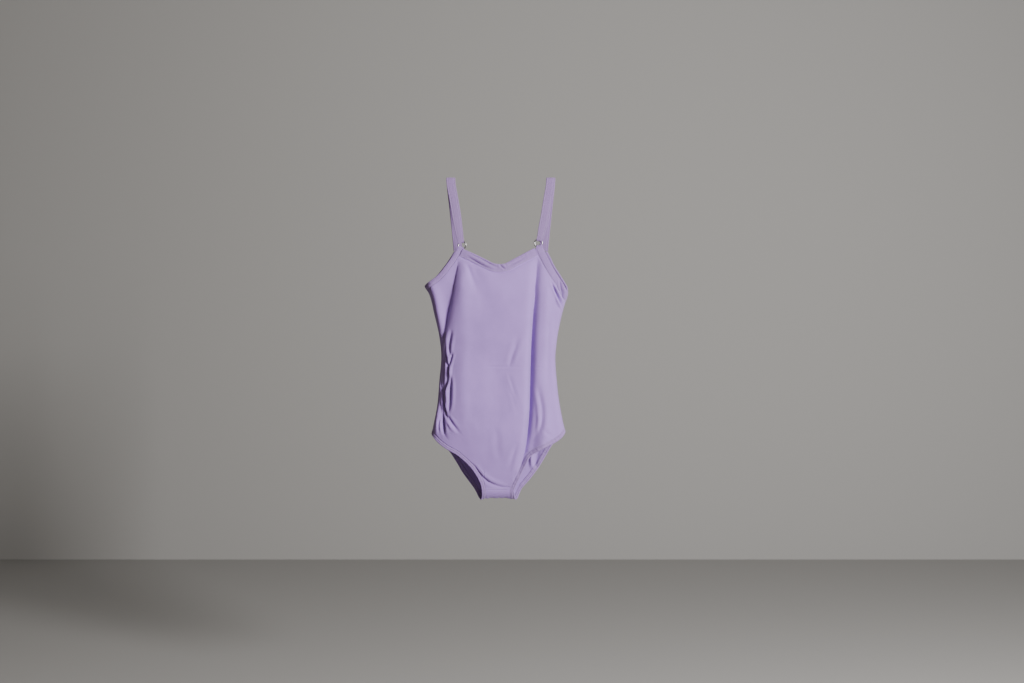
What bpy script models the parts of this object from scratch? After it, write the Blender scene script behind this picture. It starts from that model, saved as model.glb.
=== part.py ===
"""A child's camisole leotard of thin knitted cotton, hung by its two straps.

Metres, +Z up, and the front faces -Y. The origin is midway between the tops of the straps.
All sizes and tables below are in millimetres. Left is the -X side.
"""

import math

import bmesh
import bpy
import numpy as np

for old in list(bpy.data.objects):
    bpy.data.objects.remove(old, do_unlink=True)

WALL = 1.2  # the body's cloth
BAND_WALL = 2.0  # a band or hem, which is several layers
STRAP_WALL = 1.4
SEAM_GAP = 0.3
NECK_BAND = 11.5
ARM_BAND = 8.6
LEG_HEM = 6.5
STRAP_WIDTH = 12.5
RING_RADIUS = 5.4  # to the middle of the wire
RING_WIRE = 0.9  # the wire's own radius
LOOP_RADIUS = 2.1  # the middle of the cloth that goes round the wire

# The body's sections: height, its left and right edge, and how far its front and back stand out.
SECTIONS = [
    # z, left, right, front, back
    (-80, -105, 96, 12, 12),
    (-105, -105, 96, 15, 15),
    (-130, -105.5, 96, 22, 22),
    (-152, -105.5, 96, 28, 28),
    (-164, -99.5, 93, 29.5, 30),
    (-189, -93, 86, 29, 31),
    (-223, -85.5, 79, 26, 28),
    (-250, -83, 76.3, 24, 26),
    (-283, -85.5, 78, 25, 29),
    (-326, -89.5, 83.5, 27, 33),
    (-348, -94, 88, 27, 33),
    (-362, -96.5, 91, 26, 32),
    (-385, -97, 92, 22.5, 27),
    (-412, -97, 92, 15.5, 17.5),
    (-430, -97, 92, 10.5, 11),
    (-440, -97, 92, 8.5, 8.5),
]

# Edges of the cloth as seen from the front, each from the side seam or corner onward.
FRONT_NECK = [
    (-51.6, -100.7), (-34, -109), (-18, -117), (-8, -121.6), (5, -121.6), (18, -115),
    (30, -108.4), (49, -99.2),
]
BACK_NECK = [
    (-57.6, -102.8), (-54.5, -102.8), (-47, -118), (-34, -137), (-17, -149), (-3, -152),
    (12, -149), (31, -137), (46, -118), (54.5, -103.5), (57.6, -103.5),
]
ARM_FRONT_LEFT = [(-60.7, -100.7), (-67, -110.5), (-75, -122), (-86, -136), (-93.5, -142.5)]
ARM_BACK_LEFT = [(-66, -102.8), (-71, -111), (-78.5, -122), (-89.5, -136), (-97, -143.5)]
ARM_FRONT_RIGHT = [(58.5, -98.2), (65, -112), (73.5, -129), (83.7, -145), (89, -154)]
ARM_BACK_RIGHT = [(66, -103.5), (70.5, -112), (75.5, -122.5), (87, -141), (93, -151.5)]
UNDERARM_LEFT = -151.3
UNDERARM_RIGHT = -163.0
LEG_FRONT_LEFT = [
    (-84.6, -372.5), (-73.8, -380), (-62, -386.3), (-52.4, -394), (-41.9, -404.5), (-34, -416),
    (-28.7, -427), (-26.6, -436),
]
LEG_BACK_LEFT = [
    (-85.5, -374), (-74, -383.5), (-64, -398), (-54.2, -414), (-45.5, -425.5), (-37.5, -436),
]
LEG_FRONT_RIGHT = [
    (82.7, -365.5), (75.7, -370.2), (61.2, -376.8), (48, -384.7), (41, -391.2), (33.5, -404.5),
    (25.5, -421), (18.8, -436),
]
LEG_BACK_RIGHT = [
    (83.5, -366.5), (75.5, -372.5), (69.5, -381), (62.3, -393.4), (53.6, -407), (41, -423.5),
    (29.5, -436),
]
HIP_LEFT = -358.8
HIP_RIGHT = -356.0

# The crotch turns under from back to front: its edges behind, at the bottom and in front.
CROTCH_TOP = -436.0
CROTCH_DROP = 13.4
CROTCH_LEFT = (-37.5, -28.6, -26.6)
CROTCH_RIGHT = (29.5, 21.8, 18.8)

# The largest folds: side (0 front, 1 back), kind, and where each runs and how deep it is.
FOLDS = [
    # side, kind, reach, [(z, x, depth), ...]
    (0, "step", 12.0, [
        (-112, -57.5, 0), (-124, -60, 2.5), (-154, -66, 6.5), (-189, -73, 8), (-206, -76.5, 7),
        (-230, -79.5, 4), (-252, -81, 0),
    ]),
    (0, "trough", 4.6, [
        (-108, 54, 0.5), (-122, 53, 3), (-142, 51.5, 4.5), (-205, 49, 6), (-243, 46, 6),
        (-311, 43.5, 6.5), (-350, 41.5, 5.5), (-372, 38, 2.5), (-388, 32, 0.8), (-402, 26, 0),
    ]),
    (0, "trough", 5.0, [(-116, -46.5, 0), (-128, -44, 2), (-144, -39, 1.8), (-170, -34, 0)]),
    (0, "trough", 4.0, [
        (-262, -70, 0), (-280, -72, 2.2), (-310, -71, 2.6), (-335, -68.5, 2.6),
        (-352, -63, 1.4), (-368, -58, 0),
    ]),
    (0, "trough", 3.6, [
        (-396, -36, 0), (-405, -29, 0.8), (-417, -19, 1.4), (-426, -9, 1.0), (-433, 0, 0),
    ]),
    (1, "trough", 5.5, [
        (-160, -52, 0), (-185, -52, 4), (-240, -49, 6), (-300, -46, 5), (-350, -45, 3),
        (-380, -42, 0),
    ]),
    (1, "trough", 5.0, [
        (-165, 47, 0), (-195, 46, 4.5), (-245, 43, 6), (-310, 44, 5), (-360, 42, 3),
        (-392, 36, 0),
    ]),
    (1, "trough", 6.0, [(-215, -10, 0), (-240, -6, 2.5), (-265, 2, 2.5), (-300, 8, 0)]),
]


def along(table, z, column):
    """A smooth value between the rows of a table that runs downward."""
    zs = np.array([row[0] for row in table], float)[::-1]
    vs = np.array([row[column] for row in table], float)[::-1]
    slope = np.gradient(vs, zs)
    z = np.clip(np.asarray(z, float), zs[0], zs[-1])
    i = np.clip(np.searchsorted(zs, z) - 1, 0, len(zs) - 2)
    h = zs[i + 1] - zs[i]
    t = (z - zs[i]) / h
    steep = 3 * np.abs(vs[i + 1] - vs[i]) / h
    a = np.clip(slope[i], -steep, steep)
    b = np.clip(slope[i + 1], -steep, steep)
    return (
        (2 * t**3 - 3 * t**2 + 1) * vs[i]
        + (t**3 - 2 * t**2 + t) * h * a
        + (3 * t**2 - 2 * t**3) * vs[i + 1]
        + (t**3 - t**2) * h * b
    )


# A quarter of the section's shape: flatter in front than an ellipse, and round at the side seam.
TURN = np.linspace(0, math.pi / 2, 90)
QUARTER_X = np.sin(TURN) ** (2 / 2.3)
QUARTER_Y = np.cos(TURN) ** (2 / 2.3)
HALF_X = np.concatenate([-QUARTER_X[::-1], QUARTER_X[1:]])
HALF_Y = np.concatenate([QUARTER_Y[::-1], QUARTER_Y[1:]])


HEIGHTS = np.arange(-440, -79.5, 0.5)
LEFT, RIGHT, FRONT, BACK = (along(SECTIONS, HEIGHTS, k) for k in (1, 2, 3, 4))
FOLD_LINES = [(along(path, HEIGHTS, 1), along(path, HEIGHTS, 2)) for _, _, _, path in FOLDS]


def half_section(side, z):
    """x, y and length across from the middle, for the front (0) or back (1) half at height z."""
    left, right = np.interp(z, HEIGHTS, LEFT), np.interp(z, HEIGHTS, RIGHT)
    out = np.interp(z, HEIGHTS, BACK if side else FRONT)
    x = (left + right) / 2 + (right - left) / 2 * HALF_X
    y = HALF_Y * out * (1 if side else -1)
    m = np.concatenate([[0], np.cumsum(np.hypot(np.diff(x), np.diff(y)))])
    return x, y, m - m[-1] / 2


def across(side, x, z):
    """The length across from the middle, of the place that is seen at x and z."""
    xs, _, m = half_section(side, z)
    return float(np.interp(x, xs, m))


def half_length(side, z):
    return float(half_section(side, z)[2][-1])


def smooth_place(side, m, z):
    """A place on the body without its folds; m may run on past a side seam."""
    long = half_length(side, z)
    if abs(m) > long:
        other = half_length(1 - side, z)
        return smooth_place(1 - side, math.copysign(other - (abs(m) - long), m), z)
    x, y, ms = half_section(side, z)
    return np.array([np.interp(m, ms, x), np.interp(m, ms, y), z])


def fold_shift(side, m, z):
    """How far the folds move a place outward and across."""
    out, over = 0.0, 0.0
    for (where, kind, reach, path), (run, deep) in zip(FOLDS, FOLD_LINES):
        if where != side or not path[-1][0] < z < path[0][0]:
            continue
        depth = float(np.interp(z, HEIGHTS, deep))
        d = m - across(side, float(np.interp(z, HEIGHTS, run)), z)
        if kind == "step":
            front = 1 / (1 + math.exp(-d / 1.1))
            lift = 0.3 * front * math.exp(-((d / 10) ** 2))
            out += depth * (lift - 0.7 * (1 - front) * math.exp(-((d / reach) ** 2)))
            over -= 0.25 * depth * math.exp(-(((d - 1.5) / 4) ** 2))
        else:
            out -= depth * math.exp(-((d / reach) ** 2))
            out += 0.3 * depth * math.exp(-(((abs(d) - 2.1 * reach) / reach) ** 2))
    return out, over


def place(side, m, z):
    """A place on the body with its folds."""
    p = smooth_place(side, m, z)
    sideways = smooth_place(side, m + 0.4, z) - smooth_place(side, m - 0.4, z)
    down = smooth_place(side, m, z - 0.4) - smooth_place(side, m, z + 0.4)
    outward = np.cross(sideways, down) * (-1 if side else 1)
    outward /= np.linalg.norm(outward)
    if outward[1] * (1 if side else -1) < -0.2:
        outward = -outward
    sideways /= np.linalg.norm(sideways)
    out, over = fold_shift(side, m, z)
    near_seam = min(1.0, (half_length(side, z) - abs(m)) / 8) if abs(m) < half_length(side, z) else 0.0
    return p + (outward * out + sideways * over) * near_seam


def evenly(points, count):
    """The same line with count points, evenly spaced."""
    points = np.asarray(points, float)
    s = np.concatenate([[0], np.cumsum(np.linalg.norm(np.diff(points, axis=0), axis=1))])
    at = np.linspace(0, s[-1], count)
    return np.stack([np.interp(at, s, points[:, k]) for k in range(points.shape[1])], axis=1)


def rounded(points, count):
    """A smooth curve through the points."""
    p = np.asarray(points, float)
    p = np.vstack([2 * p[0] - p[1], p, 2 * p[-1] - p[-2]])
    out = []
    for a, b, c, d in zip(p[:-3], p[1:-2], p[2:-1], p[3:]):
        la, lb, lc = (math.sqrt(np.linalg.norm(v)) for v in (b - a, c - b, d - c))
        m1 = (c - b) + lb * ((b - a) / la - (c - a) / (la + lb))
        m2 = (c - b) + lb * ((d - c) / lc - (d - b) / (lb + lc))
        for t in np.linspace(0, 1, 16, endpoint=False):
            start = (2 * t**3 - 3 * t**2 + 1) * b + (t**3 - 2 * t**2 + t) * m1
            out.append(start + (3 * t**2 - 2 * t**3) * c + (t**3 - t**2) * m2)
    out.append(p[-2])
    return evenly(out, count)


def moved(line, distance, first, last, ease=9.0):
    """The line moved to its left, leaving in the given directions at its two ends."""
    step = np.gradient(line, axis=0)
    step /= np.linalg.norm(step, axis=1)[:, None]
    left = np.stack([-step[:, 1], step[:, 0]], axis=1)
    s = np.concatenate([[0], np.cumsum(np.linalg.norm(np.diff(line, axis=0), axis=1))])
    for to, far in ((first, s), (last, s[-1] - s)):
        if to is not None:
            w = np.exp(-((far / ease) ** 2))[:, None]
            left = left * (1 - w) + np.array(to, float) * w
    left /= np.linalg.norm(left, axis=1)[:, None]
    return line + left * distance


def longer(line, by):
    """The line with a straight piece added at both ends."""
    a, b = line[0] - line[1], line[-1] - line[-2]
    return np.vstack([line[0] + a / np.linalg.norm(a) * by, line, line[-1] + b / np.linalg.norm(b) * by])


def meeting(a, b):
    """Where line a first crosses line b, as places along a and b counted in points."""
    for i in range(len(a) - 1):
        for j in range(len(b) - 1):
            r, s, q = a[i + 1] - a[i], b[j + 1] - b[j], b[j] - a[i]
            cross = r[0] * s[1] - r[1] * s[0]
            if abs(cross) > 1e-12:
                t = (q[0] * s[1] - q[1] * s[0]) / cross
                u = (q[0] * r[1] - q[1] * r[0]) / cross
                if 0 <= t <= 1 and 0 <= u <= 1:
                    return i + t, j + u
    raise ValueError("the lines don't cross")


def part_of(line, start, end):
    """The line from one place to another, both counted in points."""
    n = np.arange(len(line))
    inner = [k for k in n if start < k < end]
    at = np.array([start, *inner, end], float)
    return np.stack([np.interp(at, n, line[:, k]) for k in range(2)], axis=1)


def side_line(sign, front, back, tip, count):
    """An edge that goes round a side seam, as (length from the seam, height): front is positive."""
    points = [(half_length(0, z) - sign * across(0, x, z), z) for x, z in front]
    points += [(0.0, tip)]
    points += [(-(half_length(1, z) - sign * across(1, x, z)), z) for x, z in back[::-1]]
    return rounded(points, count)


def side_place(sign, n, z):
    """The place at length n from the side seam: in front of it when positive."""
    side = 0 if n >= 0 else 1
    return place(side, sign * (half_length(side, z) - abs(n)), z)


def solid(name, points, quads, wall, material):
    """A closed wall round a sheet of four-sided faces. Its points are in millimetres."""
    p = np.asarray(points, float)
    q = np.asarray(quads, int)
    normal = np.zeros_like(p)
    face = np.cross(p[q[:, 2]] - p[q[:, 0]], p[q[:, 3]] - p[q[:, 1]])
    for k in range(4):
        np.add.at(normal, q[:, k], face)
    normal /= np.linalg.norm(normal, axis=1)[:, None]
    half = (np.asarray(wall, float) / 2 * np.ones(len(p)))[:, None]
    both = np.vstack([p + normal * half, p - normal * half]) / 1000
    n = len(p)
    faces = [tuple(f) for f in q] + [tuple(int(v) + n for v in f[::-1]) for f in q]
    edges = {(int(f[k]), int(f[(k + 1) % 4])) for f in q for k in range(4)}
    faces += [(b, a, a + n, b + n) for a, b in sorted(edges) if (b, a) not in edges]
    mesh = bpy.data.meshes.new(name)
    mesh.from_pydata([tuple(v) for v in both], [], [tuple(int(v) for v in f) for f in faces])
    mesh.validate()
    ob = bpy.data.objects.new(name, mesh)
    bpy.context.scene.collection.objects.link(ob)
    bm = bmesh.new()
    bm.from_mesh(mesh)
    bmesh.ops.triangulate(bm, faces=bm.faces[:], quad_method="SHORT_EDGE")
    if bm.calc_volume(signed=True) < 0:
        bmesh.ops.reverse_faces(bm, faces=bm.faces[:])
    bm.to_mesh(mesh)
    bm.free()
    mesh.materials.append(material)
    return ob


def strip_quads(rows, columns, closed=False):
    """The faces of a grid of points that is stored row after row."""
    quads = []
    for i in range(rows if closed else rows - 1):
        for j in range(columns - 1):
            a, b = i * columns + j, (i + 1) % rows * columns + j
            quads.append((a, b, b + 1, a + 1))
    return quads


def material(name, color, metallic, roughness):
    m = bpy.data.materials.new(name)
    m.use_nodes = True
    shader = m.node_tree.nodes["Principled BSDF"]
    shader.inputs["Base Color"].default_value = (*color, 1)
    shader.inputs["Metallic"].default_value = metallic
    shader.inputs["Roughness"].default_value = roughness
    return m


JERSEY = material("jersey", (0.43, 0.35, 0.63), 0, 0.9)
BAND = material("band", (0.42, 0.34, 0.62), 0, 0.9)
STRAP = material("strap", (0.42, 0.34, 0.61), 0, 0.85)
METAL = material("ring_metal", (0.55, 0.54, 0.56), 1, 0.3)


def on_side(sign, line, side):
    """The piece of a line on the front or back, from the seam onward: (length from the middle, height)."""
    line = line if side == 0 else line[::-1]
    beyond = (line[:, 0] if side == 0 else -line[:, 0]) - SEAM_GAP * 0.9
    i = int(np.argmax(beyond < 0))
    cut = i - 1 + beyond[i - 1] / (beyond[i - 1] - beyond[i])
    piece = part_of(line, 0, cut)[::-1]
    return np.array([(sign * (half_length(side, z) - abs(n)), z) for n, z in piece])


def lines_of(sign, front, back, tip, width, into):
    """The edge round a side, the band's inner line and the panel's edge. into is 1 if cloth is to the left."""
    edge = side_line(sign, front, back, tip, 121)
    first, last = (into, 0), (-into, 0)
    return [edge] + [moved(edge, into * d, first, last) for d in (width, width + SEAM_GAP)]


ARMS = {
    -1: lines_of(-1, ARM_FRONT_LEFT, ARM_BACK_LEFT, UNDERARM_LEFT, ARM_BAND, 1),
    1: lines_of(1, ARM_FRONT_RIGHT, ARM_BACK_RIGHT, UNDERARM_RIGHT, ARM_BAND, 1),
}
LEGS = {
    -1: lines_of(-1, LEG_FRONT_LEFT[::-1], LEG_BACK_LEFT[::-1], HIP_LEFT, LEG_HEM, -1),
    1: lines_of(1, LEG_FRONT_RIGHT[::-1], LEG_BACK_RIGHT[::-1], HIP_RIGHT, LEG_HEM, -1),
}
COLUMNS = {0: (15, 30, 15), 1: (13, 22, 13)}  # armhole, neck, armhole
LEG_COLUMNS = {0: (26, 8, 26), 1: (20, 8, 20)}  # leg, crotch, leg
ROWS = {0: 27, 1: 25}
TOPS, NECKS = {}, {}
for side, neck in ((0, FRONT_NECK), (1, BACK_NECK)):
    left, right = (on_side(sign, ARMS[sign][2], side) for sign in (-1, 1))
    edge = [(across(side, x, z), z) for x, z in neck]
    edge[0], edge[-1] = (left[-1][0], edge[0][1]), (right[-1][0], edge[-1][1])
    edge = rounded(edge, 101)
    inner, panel = (longer(moved(edge, -d, None, None), 20) for d in (NECK_BAND, NECK_BAND + SEAM_GAP))
    a, _ = meeting(inner, left)
    b, _ = meeting(inner[::-1], right)
    NECKS[side] = (edge, part_of(inner, a, len(inner) - 1 - b))
    a, i = meeting(panel, left)
    b, j = meeting(panel[::-1], right)
    middle = part_of(panel, a, len(panel) - 1 - b)
    n = COLUMNS[side]
    TOPS[side] = np.vstack([
        evenly(part_of(left, 0, i), n[0] + 1),
        evenly(middle, n[1] + 1)[1:],
        evenly(part_of(right, 0, j)[::-1], n[2] + 1)[1:],
    ])


def at_places(line, places):
    return np.stack([np.interp(places, np.arange(len(line)), line[:, k]) for k in range(2)], axis=1)


def leg_places(sign, side):
    """Where a leg's rows are, counted in points along its edge: from the seam onward."""
    n = LEGS[sign][0][:, 0]
    i = int(np.argmax(n < 0))
    seam = i - 1 + n[i - 1] / (n[i - 1] - n[i])
    return np.linspace(seam, len(n) - 1 if side else 0, LEG_COLUMNS[side][0] + 1)


def bottom_of(side):
    ends = []
    for sign in (-1, 1):
        line = at_places(LEGS[sign][2], leg_places(sign, side))
        line[0, 0] = SEAM_GAP * 0.9 * (-1 if side else 1)
        ends.append(np.array([(sign * (half_length(side, z) - abs(n)), z) for n, z in line]))
    left, right = ends
    return np.vstack([left, evenly([left[-1], right[-1]], LEG_COLUMNS[side][1] + 1)[1:], right[::-1][1:]])


def panel_points(side):
    """Rows of points from the top edge to the bottom one, closer together at the folds."""
    top, bottom = TOPS[side], bottom_of(side)
    for line in (top, bottom):
        line[:, 0] /= [half_length(side, z) for z in line[:, 1]]
    count = len(top)
    points = []
    for r in np.linspace(0, 1, ROWS[side]):
        line = top + (bottom - top) * r
        closer = np.ones(count)
        for (where, _, reach, path), (run, deep) in zip(FOLDS, FOLD_LINES):
            if where != side:
                continue
            for k, (s, z) in enumerate(line):
                if path[-1][0] < z < path[0][0]:
                    long = half_length(side, z)
                    middle = across(side, float(np.interp(z, HEIGHTS, run)), z)
                    depth = float(np.interp(z, HEIGHTS, deep))
                    closer[k] += 0.3 * max(depth, 0) * math.exp(-(((s * long - middle) / (1.6 * reach)) ** 2))
        closer = 1 + (closer - 1) * min(1, r / 0.1, (1 - r) / 0.1)
        total = np.concatenate([[0], np.cumsum((closer[1:] + closer[:-1]) / 2)])
        at = np.interp(np.linspace(0, total[-1], count), total, np.arange(count))
        for s, z in (np.array([np.interp(a, np.arange(count), line[:, k]) for k in (0, 1)]) for a in at):
            points.append(place(side, s * half_length(side, z), z))
    return points


def crotch_place(share, turn, inside):
    """A place under the crotch: share from its left edge to its right, turn from back (0) to front (1)."""
    f = turn * math.pi
    ends = []
    for side, sign in ((CROTCH_LEFT, 1), (CROTCH_RIGHT, -1)):
        back, low, front = side
        x = back * (1 - turn) * (1 - 2 * turn) + low * 4 * turn * (1 - turn) + front * turn * (2 * turn - 1)
        ends.append(x + sign * inside)
    x = ends[0] + (ends[1] - ends[0]) * share
    before, behind = (place(k, across(k, x, CROTCH_TOP), CROTCH_TOP)[1] for k in (0, 1))
    half, middle = (behind - before) / 2, (behind + before) / 2
    return np.array([x, middle + half * math.cos(f), CROTCH_TOP - CROTCH_DROP * math.sin(f)])


front = panel_points(0)
solid("front_body", front, strip_quads(ROWS[0], len(TOPS[0])), WALL, JERSEY)

back = panel_points(1)
wide = len(TOPS[1])
quads = strip_quads(ROWS[1], wide)
under_rows, under = 9, LEG_COLUMNS[1][1]
last = [(ROWS[1] - 1) * wide + LEG_COLUMNS[1][0] + k for k in range(under + 1)]
seam_turn = 1 - 1.6 * SEAM_GAP / (math.pi * CROTCH_DROP)
for turn in np.linspace(0, seam_turn, under_rows)[1:]:
    row = []
    for k in range(under + 1):
        row.append(len(back))
        back.append(crotch_place(k / under, turn, LEG_HEM + SEAM_GAP))
    quads += [(last[k], row[k], row[k + 1], last[k + 1]) for k in range(under)]
    last = row
solid("back_body", back, quads, WALL, JERSEY)

for side, name in ((0, "neckline_binding_front"), (1, "neckline_binding_back")):
    rows = 33 if side == 0 else 29
    outer, inner = evenly(NECKS[side][0], rows), evenly(NECKS[side][1], rows)
    points = [place(side, *(a + (b - a) * t)) for a, b in zip(outer, inner) for t in (0, 0.5, 1)]
    solid(name, points, strip_quads(rows, 3), BAND_WALL, BAND)

RINGS = {-1: [-53.8, 0.0, -95.3], 1: [52.6, 0.0, -92.6]}
for sign, middle in RINGS.items():
    corner = side_place(sign, ARMS[sign][0][0][0] + ARM_BAND / 2, ARMS[sign][0][0][1])
    middle[1] = corner[1] + LOOP_RADIUS


def round_wire(sign, share, turn, up, tail=0.0):
    """Cloth round a ring's wire: turn from in front (0) to behind (1), tail is how far on it lies flat."""
    angle = math.radians(sign * (48 - (80 if up > 0 else 66) * share))
    away = np.array([math.sin(angle), 0, up * math.cos(angle)])
    wire = np.array(RINGS[sign]) + RING_RADIUS * away
    f = turn * math.pi
    flat = np.array([0, 0, up * tail])
    return wire + LOOP_RADIUS * (math.cos(f) * np.array([0, -1.0, 0]) - math.sin(f) * away) + flat


for sign, name in ((-1, "armhole_binding_left"), (1, "armhole_binding_right")):
    rows = 52
    outer, inner = evenly(ARMS[sign][0], rows), evenly(ARMS[sign][1], rows)
    points, walls = [], []
    for turn, tail in [(1, 7.0), (1, 3.5)] + [(t, 0.0) for t in np.linspace(1, 0, 8)]:
        points += [round_wire(sign, share, turn, -1, tail) for share in (0, 0.5, 1)]
        walls += [STRAP_WALL] * 3
    for a, b in list(zip(outer, inner))[2:]:
        points += [side_place(sign, *(a + (b - a) * t)) for t in (0, 0.5, 1)]
        walls += [BAND_WALL] * 3
    solid(name, points, strip_quads(len(points) // 3, 3), walls, BAND)

for sign, name in ((-1, "leg_hem_left"), (1, "leg_hem_right")):
    rows = np.concatenate([leg_places(sign, 0)[::-1], leg_places(sign, 1)[1:]])
    outer, inner = at_places(LEGS[sign][0], rows), at_places(LEGS[sign][1], rows)
    points = [side_place(sign, *(a + (b - a) * t)) for a, b in zip(outer, inner) for t in (0, 0.5, 1)]
    for turn in np.linspace(0, 1, 10)[1:-1]:
        points += [crotch_place(0 if sign < 0 else 1, turn, LEG_HEM * t) for t in (0, 0.5, 1)]
    solid(name, points, strip_quads(len(points) // 3, 3, closed=True), BAND_WALL, BAND)

# The middle line of each strap from the back corner up to its top, and from there down to the ring.
STRAP_BACK = {
    -1: [(-60.3, -101.9), (-61.4, -88), (-64.2, -60), (-67, -34), (-69.4, -12), (-69.9, -4.2)],
    1: [(60.2, -102.5), (61.5, -88), (64.4, -60), (67.2, -34), (69.6, -12), (70, -4.2)],
}
STRAP_FRONT = {
    -1: [(-69.9, -4.2), (-69, -12), (-65.7, -30), (-61.8, -52.5), (-58, -76), (-56.2, -86)],
    1: [(70, -4.2), (69.2, -12), (66, -30), (62.4, -52.5), (57.6, -74), (55.4, -84)],
}
STRAP_TURN = 3.5  # the middle of the cloth over its top
for sign, name in ((-1, "strap_left"), (1, "strap_right")):
    foot = place(1, across(1, STRAP_BACK[sign][0][0], STRAP_BACK[sign][0][1]), STRAP_BACK[sign][0][1])[1]
    chest = RINGS[sign][1] - LOOP_RADIUS
    line = []
    for path, y_end, flip in ((STRAP_BACK[sign], foot, 1), (STRAP_FRONT[sign], chest, -1)):
        top, low = -4.2, min(z for _, z in path)
        strand = []
        for x, z in path:
            share = (top - z) / (top - low)
            wide = STRAP_WIDTH - (3.2 * max(0, (share - 0.75) / 0.25) if flip < 0 else 0)
            strand.append((x, flip * STRAP_TURN * (1 - share) + y_end * share, z, wide))
        line.append(rounded(strand, 17))
    top_x = line[0][-1][0]
    arc = [
        (top_x, STRAP_TURN * math.cos(f), -4.2 + STRAP_TURN * math.sin(f), STRAP_WIDTH)
        for f in np.linspace(0, math.pi, 9)[1:-1]
    ]
    line = np.vstack([line[0], arc, line[1]])
    run = np.gradient(line[:, :3], axis=0)
    run /= np.linalg.norm(run, axis=1)[:, None]
    points = []
    for (x, y, z, wide), ahead in zip(line, run):
        aside = np.array([1.0, 0, 0]) - ahead[0] * ahead
        aside *= sign / np.linalg.norm(aside)
        points += [np.array([x, y, z]) + aside * wide * t for t in (0.5, 0, -0.5)]
    for turn, tail in [(t, 0.0) for t in np.linspace(0, 1, 8)] + [(1, 4.0), (1, 9.0)]:
        points += [round_wire(sign, share, turn, 1, tail) for share in (0, 0.5, 1)]
    solid(name, points, strip_quads(len(points) // 3, 3), STRAP_WALL, STRAP)

for sign, name in ((-1, "ring_left"), (1, "ring_right")):
    bpy.ops.mesh.primitive_torus_add(
        major_segments=28,
        minor_segments=8,
        major_radius=RING_RADIUS / 1000,
        minor_radius=RING_WIRE / 1000,
        location=[v / 1000 for v in RINGS[sign]],
        rotation=(math.pi / 2, 0, 0),
    )
    ring = bpy.context.object
    bpy.ops.object.transform_apply(location=True, rotation=True, scale=True)
    ring.name = ring.data.name = name
    ring.data.materials.clear()
    ring.data.materials.append(METAL)
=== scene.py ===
"""The looks of a child's camisole leotard in lilac cotton jersey, hung by its two straps.

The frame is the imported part: metres, +Z up, front towards -Y, origin between the strap tops.
Cloth is worked out below in millimetres and becomes metres when a mesh is made.
"""

import math

import bpy
import numpy as np
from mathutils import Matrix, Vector, noise


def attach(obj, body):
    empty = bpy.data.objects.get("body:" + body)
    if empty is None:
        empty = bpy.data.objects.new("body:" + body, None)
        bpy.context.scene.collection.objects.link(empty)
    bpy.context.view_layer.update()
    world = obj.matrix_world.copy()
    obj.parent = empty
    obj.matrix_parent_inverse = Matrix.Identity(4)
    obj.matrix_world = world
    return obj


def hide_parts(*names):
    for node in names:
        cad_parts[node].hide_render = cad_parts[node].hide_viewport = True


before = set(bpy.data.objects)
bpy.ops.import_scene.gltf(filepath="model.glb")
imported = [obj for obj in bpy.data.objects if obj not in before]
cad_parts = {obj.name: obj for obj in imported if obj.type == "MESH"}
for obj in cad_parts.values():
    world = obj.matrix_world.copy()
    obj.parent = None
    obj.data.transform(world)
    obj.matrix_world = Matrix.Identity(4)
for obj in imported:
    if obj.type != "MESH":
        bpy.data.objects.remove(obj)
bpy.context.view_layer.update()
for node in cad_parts.values():
    node.select_set(False)

# Body cloth: one tube of thin cotton jersey, shaped by its side seams. It hangs empty, so it is
# flatter than a wearer would make it. Each row is a level of the tube, and both panels lie on it.
BODY_LEVELS = [
    # z, left, right, front, back
    (-80, -105, 96, 12, 12),
    (-105, -105, 96, 15, 15),
    (-130, -105.5, 96, 22, 22),
    (-152, -105.5, 96, 28, 28),
    (-164, -99.5, 93, 29.5, 30),
    (-189, -93, 86, 29, 31),
    (-223, -85.5, 79, 26, 28),
    (-250, -83, 76.3, 24, 26),
    (-283, -85.5, 78, 25, 29),
    (-326, -89.5, 83.5, 27, 33),
    (-348, -94, 88, 27, 33),
    (-362, -96.5, 91, 26, 32),
    (-385, -97, 92, 22.5, 27),
    (-412, -97, 92, 15.5, 17.5),
    (-430, -97, 92, 10.5, 11),
    (-440, -97, 92, 8.5, 8.5),
]
LEVEL_STEP = 0.5
LEVELS = np.arange(-440, -79.5, LEVEL_STEP)
ACROSS = np.linspace(-1, 1, 401)


def down_the_body(column):
    """One column of the levels as a smooth line down the body."""
    z = np.array([row[0] for row in BODY_LEVELS], float)[::-1]
    v = np.array([row[column] for row in BODY_LEVELS], float)[::-1]
    slope = np.gradient(v, z)
    i = np.clip(np.searchsorted(z, LEVELS) - 1, 0, len(z) - 2)
    h = z[i + 1] - z[i]
    t = (LEVELS - z[i]) / h
    steep = 3 * np.abs(v[i + 1] - v[i]) / h
    a, b = np.clip(slope[i], -steep, steep), np.clip(slope[i + 1], -steep, steep)
    return (
        (2 * t**3 - 3 * t**2 + 1) * v[i]
        + (t**3 - 2 * t**2 + t) * h * a
        + (3 * t**2 - 2 * t**3) * v[i + 1]
        + (t**3 - t**2) * h * b
    )


def half_tube(out, sign):
    """Where the front or back half of the tube runs at each level, evenly across, and half its length."""
    left, right = down_the_body(1), down_the_body(2)
    turn = np.linspace(-math.pi / 2, math.pi / 2, 181)
    wide = np.sign(turn) * np.abs(np.sin(turn)) ** (2 / 2.3)
    deep = np.abs(np.cos(turn)) ** (2 / 2.3)
    xs, ys, half = [], [], []
    for a, b, o in zip(left, right, out):
        x, y = (a + b) / 2 + (b - a) / 2 * wide, sign * o * deep
        m = np.concatenate([[0], np.cumsum(np.hypot(np.diff(x), np.diff(y)))])
        at = (ACROSS + 1) / 2 * m[-1]
        xs.append(np.interp(at, m, x))
        ys.append(np.interp(at, m, y))
        half.append(m[-1] / 2)
    return np.array(xs), np.array(ys), np.array(half)


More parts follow.
